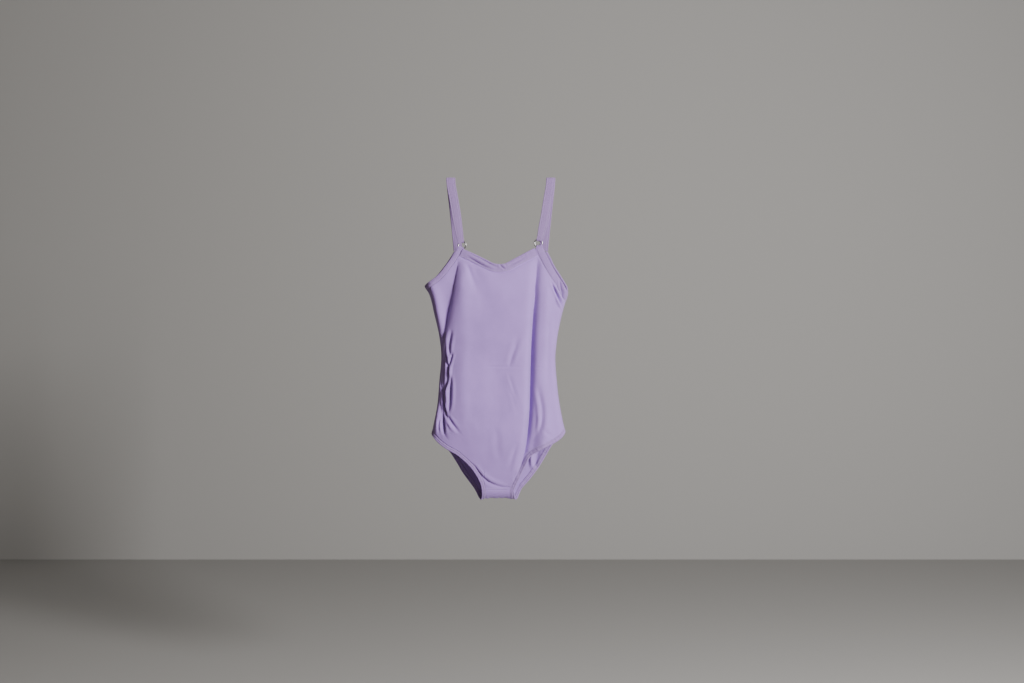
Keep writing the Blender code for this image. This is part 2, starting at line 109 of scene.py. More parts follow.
TUBE = [half_tube(down_the_body(3), -1), half_tube(down_the_body(4), 1)]  # front, back


def half_length(side, z):
    """How far it is along the cloth from the middle of the front or back to the side seam."""
    return np.interp(z, LEVELS, TUBE[side][2])


def across(side, x, z):
    """The distance along the cloth from the middle to the place that is seen at x and z."""
    f = (np.clip(z, LEVELS[0], LEVELS[-1]) - LEVELS[0]) / LEVEL_STEP
    i = min(int(f), len(LEVELS) - 2)
    xs = TUBE[side][0][i] * (1 - (f - i)) + TUBE[side][0][i + 1] * (f - i)
    return float(np.interp(x, xs, ACROSS)) * float(half_length(side, z))


def bare(side, m, z):
    """Places on the tube with no creases: m along the cloth from the middle, z the height."""
    s = np.clip(m / half_length(side, z), -1, 1)
    fz = np.clip((z - LEVELS[0]) / LEVEL_STEP, 0, len(LEVELS) - 1.001)
    fs = np.clip((s + 1) / 2 * (len(ACROSS) - 1), 0, len(ACROSS) - 1.001)
    i, j = fz.astype(int), fs.astype(int)
    a, b = fz - i, fs - j
    out = []
    for t in TUBE[side][:2]:
        out.append(
            (t[i, j] * (1 - b) + t[i, j + 1] * b) * (1 - a)
            + (t[i + 1, j] * (1 - b) + t[i + 1, j + 1] * b) * a
        )
    return np.stack([out[0], out[1], z], axis=-1)


def smooth_line(points, count):
    """A smooth curve through the points, with its points evenly spaced."""
    p = np.asarray(points, float)
    p = np.vstack([2 * p[0] - p[1], p, 2 * p[-1] - p[-2]])
    out = []
    for a, b, c, d in zip(p[:-3], p[1:-2], p[2:-1], p[3:]):
        la, lb, lc = (math.sqrt(np.linalg.norm(v)) for v in (b - a, c - b, d - c))
        m1 = (c - b) + lb * ((b - a) / la - (c - a) / (la + lb))
        m2 = (c - b) + lb * ((d - c) / lc - (d - b) / (lb + lc))
        for t in np.linspace(0, 1, 24, endpoint=False):
            out.append(
                (2 * t**3 - 3 * t**2 + 1) * b
                + (t**3 - 2 * t**2 + t) * m1
                + (3 * t**2 - 2 * t**3) * c
                + (t**3 - t**2) * m2
            )
    out.append(p[-2])
    return evenly(out, count)


def evenly(points, count):
    points = np.asarray(points, float)
    s = np.concatenate([[0], np.cumsum(np.linalg.norm(np.diff(points[:, :2], axis=0), axis=1))])
    at = np.linspace(0, s[-1], count)
    return np.stack([np.interp(at, s, points[:, k]) for k in range(points.shape[1])], axis=1)


# Creases of the front, as the photo shows them. The deepest is a long trough on the right, and the
# next two rolls down the left, from the armhole band to the hip. Small crumples fill the left side.
FRONT_CREASES = [
    # kind, [(x, z, depth, reach), ...] from the top down
    ("roll", [
        (-58, -114, 0, 8), (-59, -122, 3, 10), (-61.4, -136, 6, 12), (-63.6, -150, 7.6, 14),
        (-66.4, -166, 8.4, 14.6), (-69.6, -180, 8.8, 14.6), (-73.4, -196, 9, 14),
        (-76.4, -211, 8.4, 12), (-79.6, -226, 6.4, 10), (-82, -240, 3.4, 8), (-83.4, -252, 0, 7),
    ]),
    ("roll", [
        (-72, -226, 0, 9), (-75, -238, 3, 11), (-77.4, -256, 5, 13), (-78.4, -280, 6, 14),
        (-79, -304, 6.4, 14), (-79.4, -325, 6, 13), (-79.2, -342, 4.4, 11), (-78.4, -360, 0, 9),
    ]),
    ("valley", [
        (51.4, -112, 0.8, 3), (50.8, -122, 4, 3.4), (49.8, -142, 6.8, 3.2), (48.6, -165, 8.4, 3.2),
        (47.2, -190, 9.8, 3.2), (45.8, -215, 11, 3.1), (44.8, -240, 12.4, 3.1), (44, -262, 12.8, 3.1),
        (43.4, -285, 13, 3.1), (42.6, -310, 13.4, 3.1), (41.6, -332, 14, 3.1), (39.8, -350, 14, 3.2),
        (37.6, -366, 13, 3.3), (35.2, -380, 11, 3.3), (32, -392, 8, 3.2), (28.6, -402, 4.5, 3),
        (25.6, -412, 1.5, 3), (24, -420, 0, 3),
    ]),
    ("forward", [
        (-95, -142, 1, 9), (-93, -160, 6, 10), (-88, -185, 6.5, 9), (-85, -210, 4, 8),
        (-84, -235, 0, 7),
    ]),
    ("forward", [
        (-86, -262, 0, 7), (-86, -285, 3, 7), (-88, -315, 5, 8), (-90, -345, 5, 8), (-90, -362, 0, 7),
    ]),
    ("trough", [
        (-47.5, -121, 0.6, 1.8), (-44.4, -128, 1.5, 2.1), (-41, -138, 1.2, 2.6), (-36, -152, 0.7, 3.6),
        (-31, -170, 0, 5),
    ]),
    ("trough", [
        (-38, -127, 0.6, 6), (-36, -138, 2.2, 8), (-30, -154, 1.8, 10), (-22, -180, 1.2, 12),
        (-16, -210, 0, 12),
    ]),
    ("trough", [
        (50.6, -270, 0, 6), (51.4, -300, 1.6, 6.4), (51, -325, 3.2, 6.6), (49.6, -350, 4.4, 6.6),
        (46, -370, 5.4, 6.6), (42, -386, 3, 6), (37, -398, 0, 6),
    ]),
    ("ridge", [
        (-51, -122, 0.3, 5), (-51, -136, 1, 7), (-51, -160, 1.4, 9), (-51, -220, 1.6, 10),
        (-51, -300, 1.4, 10), (-50, -345, 0.8, 10), (-48, -372, 0, 10),
    ]),
    ("trough", [(-16, -226, 0, 16), (-8, -262, 1.6, 19), (-4, -310, 1.8, 19), (-2, -350, 0, 16)]),
    ("trough", [
        (-66.5, -212, 0, 2.2), (-68.9, -224, 2.6, 2.3), (-70.4, -236, 3.2, 2), (-70, -246, 1.6, 1.7),
        (-69.6, -252, 0, 1.5),
    ]),
    ("trough", [
        (-77.2, -240, 0, 1.5), (-75.6, -250, 3, 1.6), (-73.6, -260, 3.4, 1.6), (-72.6, -270, 3.6, 1.8),
        (-73.2, -284, 3.6, 2), (-76.6, -296, 3.2, 1.8), (-77.6, -306, 0, 1.6),
    ]),
    ("trough", [
        (-65.8, -243, 0, 1.4), (-67.6, -252, 2.6, 1.5), (-70.2, -261, 2.4, 1.5), (-72.4, -268, 0, 1.4),
    ]),
    ("ridge", [(-66, -258, 0, 1.6), (-68.4, -270, 1.4, 1.7), (-69.6, -282, 1, 1.6), (-70, -292, 0, 1.5)]),
    ("trough", [
        (-69.2, -274, 0, 1.9), (-68.6, -286, 3, 2.1), (-69, -300, 3.6, 2.3), (-70, -316, 3, 2.3),
        (-72.6, -330, 0, 2),
    ]),
    ("ridge", [(-74, -290, 0, 1.5), (-73.6, -302, 2, 1.6), (-73, -314, 1.8, 1.6), (-73, -325, 0, 1.5)]),
    ("trough", [
        (-80.8, -290, 0, 1.3), (-80.4, -300, 3.4, 1.5), (-79.2, -312, 4.4, 1.6), (-77, -323, 4, 1.6),
        (-74.4, -333, 2, 1.5), (-72.6, -339, 0, 1.4),
    ]),
    ("trough", [(-84.4, -280, 0, 1.3), (-84, -290, 2.2, 1.4), (-82.8, -299, 2, 1.4), (-81.4, -306, 0, 1.3)]),
    ("ridge", [(-84.8, -300, 0, 1.6), (-83.4, -312, 1.6, 1.7), (-82, -324, 1.2, 1.7), (-81, -334, 0, 1.6)]),
    ("trough", [(-73, -331, 0, 1.6), (-69, -339, 2.4, 1.8), (-64, -347, 1.6, 2), (-56, -357, 0, 2)]),
    ("ridge", [(-76, -338, 0, 1.8), (-70, -346, 1.4, 2), (-63, -356, 0, 2.2)]),
    ("trough", [(-79.4, -330, 0, 1.7), (-79.2, -341, 3.4, 2), (-78.6, -352, 3, 2), (-78, -362, 0, 1.8)]),
    ("ridge", [(-83.2, -334, 0, 1.4), (-83, -346, 1.4, 1.5), (-83, -358, 0, 1.4)]),
    ("trough", [(-87, -336, 0, 1.2), (-86.6, -346, 2.2, 1.4), (-86.8, -356, 0, 1.3)]),
    ("trough", [(25.5, -216, 0, 3.6), (21, -235, 1.2, 3.4), (15, -253, 1.3, 2.8), (11.8, -266, 0, 2.4)]),
    ("trough", [(11, -276, 0, 3), (16.5, -297, 0.9, 3), (22, -316, 0.7, 3.4), (25.5, -332, 0, 3.6)]),
    ("ridge", [(6, -272, 0, 2.4), (13, -290, 0.8, 2.2), (22, -314, 0.7, 2.4), (26, -330, 0, 2.8)]),
    ("trough", [
        (-38, -263.6, 0, 1.1), (-10, -264.3, 0.35, 1.1), (20, -264.8, 0.4, 1.1),
        (50, -265.6, 0.4, 1.1), (70, -266.2, 0, 1.1),
    ]),
    ("trough", [
        (51.5, -288, 0, 2.8), (55.6, -307, 1.6, 2.6), (58.4, -326, 2.2, 2.4), (57.4, -344, 2, 2.4),
        (53.6, -358, 0, 2.4),
    ]),
    ("ridge", [(49.8, -300, 0, 2.2), (52.2, -325, 1.6, 2.2), (52.6, -343, 1.8, 2.2), (50.2, -357, 0, 2.2)]),
    ("ridge", [
        (64.4, -146, 0, 3), (63.6, -170, 1.2, 4.4), (62.6, -205, 1.2, 5), (61, -250, 0.8, 5),
        (60, -290, 0, 5),
    ]),
    ("trough", [
        (81.4, -143, 0, 1.4), (82.6, -149, 1.8, 1.5), (84.4, -158, 2.4, 1.6), (86.4, -167, 1.8, 1.5),
        (87.6, -173, 0, 1.4),
    ]),
    ("ridge", [
        (72, -148, 0, 1.2), (75, -154, 1.6, 1.3), (80.2, -163.4, 2, 1.3), (84.6, -172, 1.6, 1.3),
        (87, -177, 0, 1.2),
    ]),
    ("trough", [
        (71, -147, 0, 1.3), (73, -153, 1.8, 1.4), (76, -161, 2.3, 1.4), (80, -170, 2.1, 1.3),
        (84, -178, 0, 1.3),
    ]),
    ("ridge", [(76.6, -166, 0, 1.5), (78.4, -173, 2.2, 1.7), (81.4, -179.4, 1.8, 1.8), (84.6, -186, 0, 1.6)]),
    ("trough", [(81.4, -172, 0, 1.2), (83.6, -178, 1.6, 1.2), (86.2, -184, 0, 1.2)]),
    ("ridge", [(87.4, -152, 0, 1.6), (89, -160, 1.3, 1.8), (90, -168, 0, 1.6)]),
    ("trough", [(77, -186, 0, 2.6), (75.8, -208, 1.4, 2.8), (74, -230, 1.1, 2.8), (73, -252, 0, 2.6)]),
    ("trough", [(68, -200, 0, 3.4), (67, -225, 0.8, 3.8), (66, -262, 0.8, 3.8), (67, -300, 0, 3.8)]),
    ("trough", [(60, -350, 0, 2.2), (64.5, -357, 1.1, 2.2), (71, -362, 0, 2.2)]),
    ("overlap", [
        (-41, -397, 0, 3), (-34, -402.5, 1.6, 3), (-27.8, -411, 3.2, 3), (-20, -419.5, 4.2, 3.2),
        (-10, -426, 4.4, 3.2), (0, -430, 3.2, 3), (9, -431.4, 1.4, 2.6), (16, -431.6, 0, 2.4),
    ]),
    ("trough", [(-8, -342, 0, 3.4), (-5, -360, 0.7, 3.4), (-4, -380, 0.6, 3.4), (-1, -396, 0, 3)]),
    ("trough", [(22, -372, 0, 2.6), (18, -386, 0.9, 2.8), (13, -402, 0.7, 2.8), (10, -416, 0, 2.6)]),
    ("trough", [
        (-44, -107.5, 0, 1.1), (-36, -111, 0.9, 1.2), (-28, -114.6, 1.5, 1.3), (-18, -120, 1.8, 1.4),
        (-10, -124.4, 1.5, 1.4), (-3, -126.6, 0, 1.3),
    ]),
    ("ridge", [
        (-46, -109.6, 0, 1.1), (-34, -115.6, 1.1, 1.2), (-24, -121.4, 1.3, 1.3), (-14, -126.8, 1, 1.2),
        (-6, -129.4, 0, 1.2),
    ]),
    ("trough", [(-46, -112.4, 0, 1), (-36, -117.8, 1, 1.1), (-26, -123.6, 0.9, 1.1), (-17, -128, 0, 1)]),
    ("trough", [(-2, -123.6, 0, 1.1), (2.4, -126.8, 1.8, 1.2), (7, -130, 0, 1.1)]),
    ("trough", [(10, -124.8, 0, 1.2), (18, -121.8, 0.9, 1.3), (27, -117, 0.6, 1.3), (36, -112, 0, 1.2)]),
]

# Creases of the back, which the photo doesn't show. They are like the front's: two long uneven
# troughs under the straps, a slack waist, and short pulls at the seams.
BACK_CREASES = [
    ("trough", [
        (-55, -158, 0, 4.5), (-53, -184, 3.6, 5), (-50.5, -214, 5.4, 5), (-49, -246, 6, 4.8),
        (-47, -284, 5.4, 4.8), (-45.5, -322, 4, 5), (-44.5, -356, 1.8, 5), (-43, -380, 0, 4.6),
    ]),
    ("trough", [
        (49, -160, 0, 4.2), (47, -186, 3.8, 4.8), (44.6, -222, 5.6, 5), (43, -258, 6, 4.6),
        (43.6, -296, 5.2, 4.8), (43, -340, 3.4, 5), (40.5, -372, 1.4, 4.6), (37, -392, 0, 4),
    ]),
    ("trough", [
        (-12, -212, 0, 5), (-8, -232, 2.2, 5.6), (-1, -252, 2.6, 5.6), (5, -276, 1.8, 5.6),
        (9, -302, 0, 5),
    ]),
    ("trough", [(14, -222, 0, 4), (19, -240, 1.3, 4), (27, -254, 0.9, 4), (34, -263, 0, 3.6)]),
    ("trough", [(-20, -240, 0, 3.6), (-27, -254, 1.2, 3.6), (-35, -264, 0, 3.4)]),
    ("trough", [(-74, -226, 0, 2.2), (-74.6, -246, 1.9, 2.3), (-75.6, -270, 2.1, 2.2), (-77, -292, 0, 2)]),
    ("trough", [(-69, -300, 0, 2.4), (-71.5, -318, 1.6, 2.4), (-76, -336, 0, 2.2)]),
    ("trough", [(70, -216, 0, 2.2), (69.4, -238, 1.7, 2.3), (70, -262, 1.5, 2.2), (72, -282, 0, 2)]),
    ("trough", [(72, -296, 0, 2.4), (69.5, -314, 1.5, 2.4), (66, -334, 1.1, 2.6), (62, -352, 0, 2.6)]),
    ("trough", [(20, -158, 0, 5), (16, -180, 0.9, 6), (12, -204, 0, 6)]),
    ("trough", [(-28, -154, 0, 4), (-24, -172, 1, 4.4), (-21, -194, 0, 5)]),
    ("overlap", [
        (-38, -408, 0, 3), (-28, -417, 1.2, 3.2), (-15, -424, 1.7, 3.4), (2, -427, 1.5, 3.4),
        (16, -425, 0.8, 3), (26, -420, 0, 2.6),
    ]),
    ("trough", [(48, -380, 0, 2.4), (44, -390, 2.4, 2.4), (43.4, -400, 2.6, 2.2), (46, -411, 0, 2.2)]),
    ("ridge", [(56, -378, 0, 3), (52, -390, 1.6, 3), (50, -402, 1.4, 3), (51, -412, 0, 3)]),
    ("trough", [(-70, -366, 0, 2.6), (-62, -378, 1.1, 2.8), (-55, -392, 0, 2.6)]),
    ("trough", [(-30, -263.5, 0, 1.2), (0, -264.5, 0.3, 1.2), (36, -265.5, 0.3, 1.2), (60, -266, 0, 1.2)]),
]


def laid_out(side, creases):
    """The creases as smooth lines on the flat of the cloth: along the cloth, height, depth, reach."""
    lines = []
    for kind, points in creases:
        flat = [(across(side, x, z), z, depth, reach) for x, z, depth, reach in points]
        lines.append((kind, smooth_line(flat, 26)))
    return lines


CREASES = [laid_out(0, FRONT_CREASES), laid_out(1, BACK_CREASES)]


def from_line(line, m, z):
    """Signed distance from a line, with the line's depth and reach there, and how far along it is."""
    best = np.full(m.shape, 1e9)
    found = [np.zeros(m.shape) for _ in range(4)]
    run = 0.0
    for a, b in zip(line[:-1], line[1:]):
        d = b[:2] - a[:2]
        long = math.hypot(*d)
        t = np.clip(((m - a[0]) * d[0] + (z - a[1]) * d[1]) / long**2, 0, 1)
        dm, dz = m - a[0] - t * d[0], z - a[1] - t * d[1]
        away = np.hypot(dm, dz)
        near = away < best
        best = np.where(near, away, best)
        sign = np.where(d[0] * (z - a[1]) - d[1] * (m - a[0]) < 0, -1.0, 1.0)
        for k, v in enumerate(
            (sign * away, a[2] + (b[2] - a[2]) * t, a[3] + (b[3] - a[3]) * t, run + long * t)
        ):
            found[k] = np.where(near, v, found[k])
        run += long
    return found


def creased(side, m, z):
    """Places on the cloth with its creases, gathers and slight unevenness."""
    m, z = np.asarray(m, float), np.asarray(z, float)
    p = bare(side, m, z)
    aside = bare(side, m + 0.6, z) - bare(side, m - 0.6, z)
    down = bare(side, m, z - 0.6) - bare(side, m, z + 0.6)
    outward = np.cross(aside, down) * (1 if side else -1)
    outward /= np.linalg.norm(outward, axis=-1, keepdims=True)
    aside /= np.linalg.norm(aside, axis=-1, keepdims=True)
    out, over, ahead = np.zeros(m.shape), np.zeros(m.shape), np.zeros(m.shape)
    for kind, line in CREASES[side]:
        room = (6 if kind == "roll" else 4.5) * line[:, 3].max()
        near = (
            (m > line[:, 0].min() - room) & (m < line[:, 0].max() + room)
            & (z > line[:, 1].min() - room) & (z < line[:, 1].max() + room)
        )
        if not near.any():
            continue
        d, depth, reach, run = from_line(line, m[near], z[near])
        if kind == "trough":
            shape = -np.exp(-((d / reach) ** 2)) + 0.3 * np.exp(-(((np.abs(d) - 2.1 * reach) / reach) ** 2))
            out[near] += depth * shape
        elif kind == "valley":
            wide = np.where(d < 0, 1.6, 1.5) * reach
            out[near] -= depth * np.exp(-((np.abs(d) / wide) ** 1.5))
        elif kind == "forward":
            ahead[near] += depth * np.exp(-((d / reach) ** 2))
        elif kind == "ridge":
            out[near] += depth * np.exp(-((d / reach) ** 2))
        elif kind == "overlap":
            proud = 1 / (1 + np.exp(-d / (0.09 * reach + 0.2)))
            lift = 0.42 * proud * np.exp(-((d / (1.3 * reach)) ** 2))
            sink = 0.58 * (1 - proud) * np.exp(-((d / reach) ** 2))
            out[near] += depth * (lift - sink)
            over[near] -= 0.4 * depth * np.exp(-(((d - 0.12 * reach) / (0.35 * reach)) ** 2))
        elif kind == "roll":
            right, left = np.clip(d, 0, None), np.clip(-d, 0, None)
            rise = (0.5 - np.exp(-right / (0.32 * reach))) * np.exp(-((right / (2.4 * reach)) ** 2))
            out[near] += depth * np.where(d > 0, rise, -0.5 * np.exp(-((left / reach) ** 2)))
            over[near] -= 0.14 * depth * np.exp(-(((d - 0.12 * reach) / (0.2 * reach)) ** 2))
        elif kind == "seam":
            beside = np.clip(d / reach, 0, None)
            out[near] -= depth * beside * np.exp(1 - beside)
        elif kind == "gather":
            wave = np.sin(run * 0.86 + 1.7 * np.sin(run * 0.21)) + 0.5 * np.sin(run * 1.71 + 2.0)
            out[near] += depth * wave * np.exp(-((d / reach) ** 2))
    flat = np.stack([m.ravel(), z.ravel()], axis=1)
    uneven = [
        0.7 * noise.noise(Vector((a / 34, b / 60, side * 9 + 3)))
        + 0.22 * noise.noise(Vector((a / 11, b / 17, side * 9 + 5)))
        for a, b in flat
    ]
    out += np.array(uneven).reshape(m.shape)
    seam = half_length(side, z) - np.abs(m)
    pressed = np.clip((z + 372) / 26, 0, 1) * np.clip((-134 - z) / 22, 0, 1)
    ahead += 2.5 * pressed * np.exp(-(((seam - 10) / 9) ** 2))
    fade = np.clip(seam / 8, 0, 1)
    out = out * fade - 0.4 * np.exp(-((seam / 1.1) ** 2))
    p = p + outward * out[..., None] + aside * (over * fade)[..., None]
    p[..., 1] += (1 if side else -1) * ahead * np.clip(seam / 7, 0, 1)
    return p


# Edges of the panels and what binds them: the widths of the neck and armhole bands and of the
# leg hems, and the lines that their outer edges follow, seen from the front.
NECK_BAND, ARM_BAND, LEG_HEM = 11.5, {-1: 8.6, 1: 11.5}, 6.5
TUCK = 1.2  # how far a panel runs on inside its band
WALL = 1.1  # thickness of the jersey
NECK_EDGES = [
    [
        (-51.6, -100.7), (-34, -109), (-18, -117), (-8, -121.6), (5, -121.6), (18, -115), (30, -108.4),
        (49, -99.2),
    ],
    [
        (-57.6, -102.8), (-54.5, -102.8), (-47, -118), (-34, -137), (-17, -149), (-3, -152),
        (12, -149), (31, -137), (44, -118), (51, -103.5), (57.6, -103.5),
    ],
]
ARM_EDGES = {
    # side: front from the ring down, back from the strap down, height of the underarm
    -1: (
        [(-60.7, -100.7), (-67, -110.5), (-75, -122), (-86, -136), (-93.5, -142.5)],
        [(-66, -102.8), (-71, -111), (-78.5, -122), (-89.5, -136), (-97, -143.5)],
        -151.3,
    ),
    1: (
        [(58.5, -98.2), (65, -112), (73.5, -129), (83.7, -145), (89, -154)],
        [(66, -103.5), (70.5, -112), (75.5, -122.5), (87, -141), (93, -151.5)],
        -163.0,
    ),
}
LEG_EDGES = {
    # side: front from the hip to the crotch, back from the hip to the crotch, height of the hip
    -1: (
        [
            (-84.6, -372.5), (-73.8, -380), (-62, -386.3), (-52.4, -394), (-41.9, -404.5), (-34, -416),
            (-28.7, -427), (-26.6, -436),
        ],
        [(-85.5, -374), (-74, -383.5), (-64, -398), (-54.2, -414), (-45.5, -425.5), (-37.5, -436)],
        -358.8,
    ),
    1: (
        [
            (82.7, -365.5), (75.7, -370.2), (61.2, -376.8), (48, -384.7), (41, -391.2), (33.5, -404.5),
            (25.5, -421), (18.8, -436),
        ],
        [
            (83.5, -366.5), (75.5, -372.5), (69.5, -381), (62.3, -393.4), (53.6, -407), (41, -423.5),
            (29.5, -436),
        ],
        -356.0,
    ),
}
CROTCH_TOP, CROTCH_DROP = -436.0, 13.4
CROTCH_EDGES = [(-37.5, -28.6, -26.6), (29.5, 21.8, 18.8)]  # left and right: behind, at the bottom, in front


def moved(line, distance, first=None, last=None):
    """The line moved to its left, leaving in the given directions at its two ends."""
    step = np.gradient(line, axis=0)
    step /= np.linalg.norm(step, axis=1)[:, None]
    left = np.stack([-step[:, 1], step[:, 0]], axis=1)
    s = np.concatenate([[0], np.cumsum(np.linalg.norm(np.diff(line, axis=0), axis=1))])
    for to, far in ((first, s), (last, s[-1] - s)):
        if to is not None:
            w = np.exp(-((far / 9.0) ** 2))[:, None]
            left = left * (1 - w) + np.array(to, float) * w
    return line + left / np.linalg.norm(left, axis=1)[:, None] * distance


def round_the_side(sign, front, back, tip):
    """An edge that goes round a side seam: distance from the seam, positive in front, and height."""
    points = [(half_length(0, z) - sign * across(0, x, z), z) for x, z in front]
    points += [(0.0, tip)]
    points += [(-(half_length(1, z) - sign * across(1, x, z)), z) for x, z in back[::-1]]
    return smooth_line(points, 241)


ARM_LINES = {sign: round_the_side(sign, *ARM_EDGES[sign]) for sign in (-1, 1)}
LEG_LINES = {
    sign: round_the_side(sign, LEG_EDGES[sign][0][::-1], LEG_EDGES[sign][1][::-1], LEG_EDGES[sign][2])
    for sign in (-1, 1)
}


def arm_line(sign, inside):
    return moved(ARM_LINES[sign], inside, (1, 0), (-1, 0))


def leg_line(sign, inside):
    return moved(LEG_LINES[sign], -inside, (-1, 0), (1, 0))


def on_panel(sign, line, side):
    """The piece of such an edge on the front or back, from the seam on: distance from the middle, height."""
    line = line if side == 0 else line[::-1]
    n = line[:, 0] if side == 0 else -line[:, 0]
    i = int(np.argmax(n < 0))
    cut = line[i - 1] + (line[i] - line[i - 1]) * n[i - 1] / (n[i - 1] - n[i])
    piece = np.vstack([line[:i], cut])[::-1]
    return np.stack([sign * (half_length(side, piece[:, 1]) - np.abs(piece[:, 0])), piece[:, 1]], axis=1)


def crossing(a, b):
    """Where line a first crosses line b, counted in points along each."""
    for i in range(len(a) - 1):
        for j in range(len(b) - 1):
            r, s, q = a[i + 1] - a[i], b[j + 1] - b[j], b[j] - a[i]
            cross = r[0] * s[1] - r[1] * s[0]
            if abs(cross) > 1e-12:
                t, u = (q[0] * s[1] - q[1] * s[0]) / cross, (q[0] * r[1] - q[1] * r[0]) / cross
                if 0 <= t <= 1 and 0 <= u <= 1:
                    return i + t, j + u
    raise ValueError("the two edges don't cross")


def cut_out(line, start, end):
    at = np.array([start, *[k for k in range(len(line)) if start < k < end], end], float)
    return np.stack([np.interp(at, np.arange(len(line)), line[:, k]) for k in range(2)], axis=1)


def neck_line(side):
    """The neck's outer edge on one panel, from one armhole band to the other."""
    left, right = (on_panel(sign, arm_line(sign, ARM_BAND[sign]), side)[-1] for sign in (-1, 1))
    edge = [(across(side, x, z), z) for x, z in NECK_EDGES[side]]
    edge[0], edge[-1] = (left[0], edge[0][1]), (right[0], edge[-1][1])
    return smooth_line(edge, 161)


def neck_inside(side, inside, beyond):
    """A line inside the neck's edge, ended where it meets the armhole bands, and where it meets them."""
    left, right = (on_panel(sign, arm_line(sign, ARM_BAND[sign] + beyond), side) for sign in (-1, 1))
    line = moved(neck_line(side), -inside)
    a, b = line[0] - line[1], line[-1] - line[-2]
    line = np.vstack([line[0] + a / np.linalg.norm(a) * 20, line, line[-1] + b / np.linalg.norm(b) * 20])
    i, at_left = crossing(line, left)
    j, at_right = crossing(line[::-1], right)
    return cut_out(line, i, len(line) - 1 - j), cut_out(left, 0, at_left), cut_out(right, 0, at_right)


# Gathers where elastic draws the leg holes in, and the slighter ones of the neck and armholes.
for side in (0, 1):
    for sign in (-1, 1):
        for line, depth, reach in ((leg_line(sign, 3), 0.14, 7), (arm_line(sign, 5), 0.05, 7)):
            flat = evenly(on_panel(sign, line, side), 40)
            ends = np.clip(np.linspace(0, 1, 40) / 0.12, 0, 1)
            CREASES[side].append(("gather", np.column_stack([flat, depth * ends, np.full(40, reach)])))
    flat = evenly(neck_line(side), 40)
    CREASES[side].append(("gather", np.column_stack([flat, np.full(40, 0.1), np.full(40, 9)])))
    grooves = [(evenly(neck_inside(side, NECK_BAND, 0)[0], 60)[::-1], 0.9)]
    for sign in (-1, 1):
        grooves.append((evenly(on_panel(sign, arm_line(sign, ARM_BAND[sign]), side), 60)[::-sign], 0.7))
        grooves.append((evenly(on_panel(sign, leg_line(sign, LEG_HEM), side), 60)[::sign], 0.7))
    for flat, depth in grooves:
        ends = np.clip(np.minimum(np.arange(60), 59 - np.arange(60)) / 4, 0, 1)
        CREASES[side].append(("seam", np.column_stack([flat, depth * ends, np.full(60, 0.9)])))

# The cloth's look: fine single jersey. Each wale is a column of small Vs, and the yarn's dye
# is a little uneven. The colour also holds painted shade: it is darker where the knit is low,
# between the wales and in the loops. Every cloth piece has this knit, along its own UV map in metres.
knit = bpy.data.node_groups.new("jersey_knit", "ShaderNodeTree")
for name, kind, where in (
    ("UV", "NodeSocketVector", "INPUT"),
    ("Wale", "NodeSocketFloat", "INPUT"),
    ("Course", "NodeSocketFloat", "INPUT"),
    ("Colour", "NodeSocketColor", "INPUT"),
    ("Colour", "NodeSocketColor", "OUTPUT"),
    ("Height", "NodeSocketFloat", "OUTPUT"),
    ("Roughness", "NodeSocketFloat", "OUTPUT"),
):
    knit.interface.new_socket(name=name, in_out=where, socket_type=kind)
knit_in, knit_out = knit.nodes.new("NodeGroupInput"), knit.nodes.new("NodeGroupOutput")


def sums(tree, kind, a, b=None, clamp=False):
    """A Math node on sockets or numbers."""
    n = tree.nodes.new("ShaderNodeMath")
    n.operation, n.use_clamp = kind, clamp
    for k, v in enumerate((a, b)):
        if v is None:
            continue
        if isinstance(v, (int, float)):
            n.inputs[k].default_value = v
        else:
            tree.links.new(v, n.inputs[k])
    return n.outputs[0]


parts = knit.nodes.new("ShaderNodeSeparateXYZ")
knit.links.new(knit_in.outputs["UV"], parts.inputs[0])
wales = sums(knit, "DIVIDE", parts.outputs[0], knit_in.outputs["Wale"])
courses = sums(knit, "DIVIDE", parts.outputs[1], knit_in.outputs["Course"])
off_wale = sums(
    knit, "MULTIPLY", sums(knit, "ABSOLUTE", sums(knit, "SUBTRACT", sums(knit, "FRACT", wales), 0.5)), 2
)
slanted = sums(knit, "ADD", courses, sums(knit, "MULTIPLY", off_wale, 0.65))
loops = sums(
    knit,
    "MULTIPLY",
    sums(knit, "ADD", sums(knit, "SINE", sums(knit, "MULTIPLY", slanted, 2 * math.pi)), 1),
    0.5,
)
valley = sums(knit, "SUBTRACT", 1, sums(knit, "POWER", off_wale, 4))
yarn = sums(knit, "MULTIPLY", sums(knit, "ADD", sums(knit, "MULTIPLY", loops, 0.6), 0.4), valley)
cloud = knit.nodes.new("ShaderNodeTexNoise")
cloud.inputs["Scale"].default_value = 38
cloud.inputs["Detail"].default_value = 4
fleck = knit.nodes.new("ShaderNodeTexNoise")
fleck.inputs["Scale"].default_value = 900
fleck.inputs["Detail"].default_value = 2
for n in (cloud, fleck):
    knit.links.new(knit_in.outputs["UV"], n.inputs["Vector"])
tone_and_knit_shade = sums(
    knit,
    "ADD",
    sums(knit, "MULTIPLY", cloud.outputs["Fac"], 0.16),
    sums(knit, "MULTIPLY", fleck.outputs["Fac"], 0.2),
)
# Painted shade: the colour is darkened where the knit's height is low, between wales and loops.
tone_and_knit_shade = sums(knit, "ADD", tone_and_knit_shade, sums(knit, "MULTIPLY", yarn, 0.12))
tone_and_knit_shade = sums(knit, "ADD", tone_and_knit_shade, 0.76)
dyed_and_knit_shaded = knit.nodes.new("ShaderNodeVectorMath")
dyed_and_knit_shaded.operation = "SCALE"
knit.links.new(knit_in.outputs["Colour"], dyed_and_knit_shaded.inputs[0])
knit.links.new(tone_and_knit_shade, dyed_and_knit_shaded.inputs["Scale"])
knit.links.new(dyed_and_knit_shaded.outputs[0], knit_out.inputs["Colour"])
knit.links.new(
    sums(knit, "ADD", yarn, sums(knit, "MULTIPLY", fleck.outputs["Fac"], 0.5)), knit_out.inputs["Height"]
)
knit.links.new(
    sums(knit, "ADD", 0.8, sums(knit, "MULTIPLY", cloud.outputs["Fac"], 0.12)), knit_out.inputs["Roughness"]
)


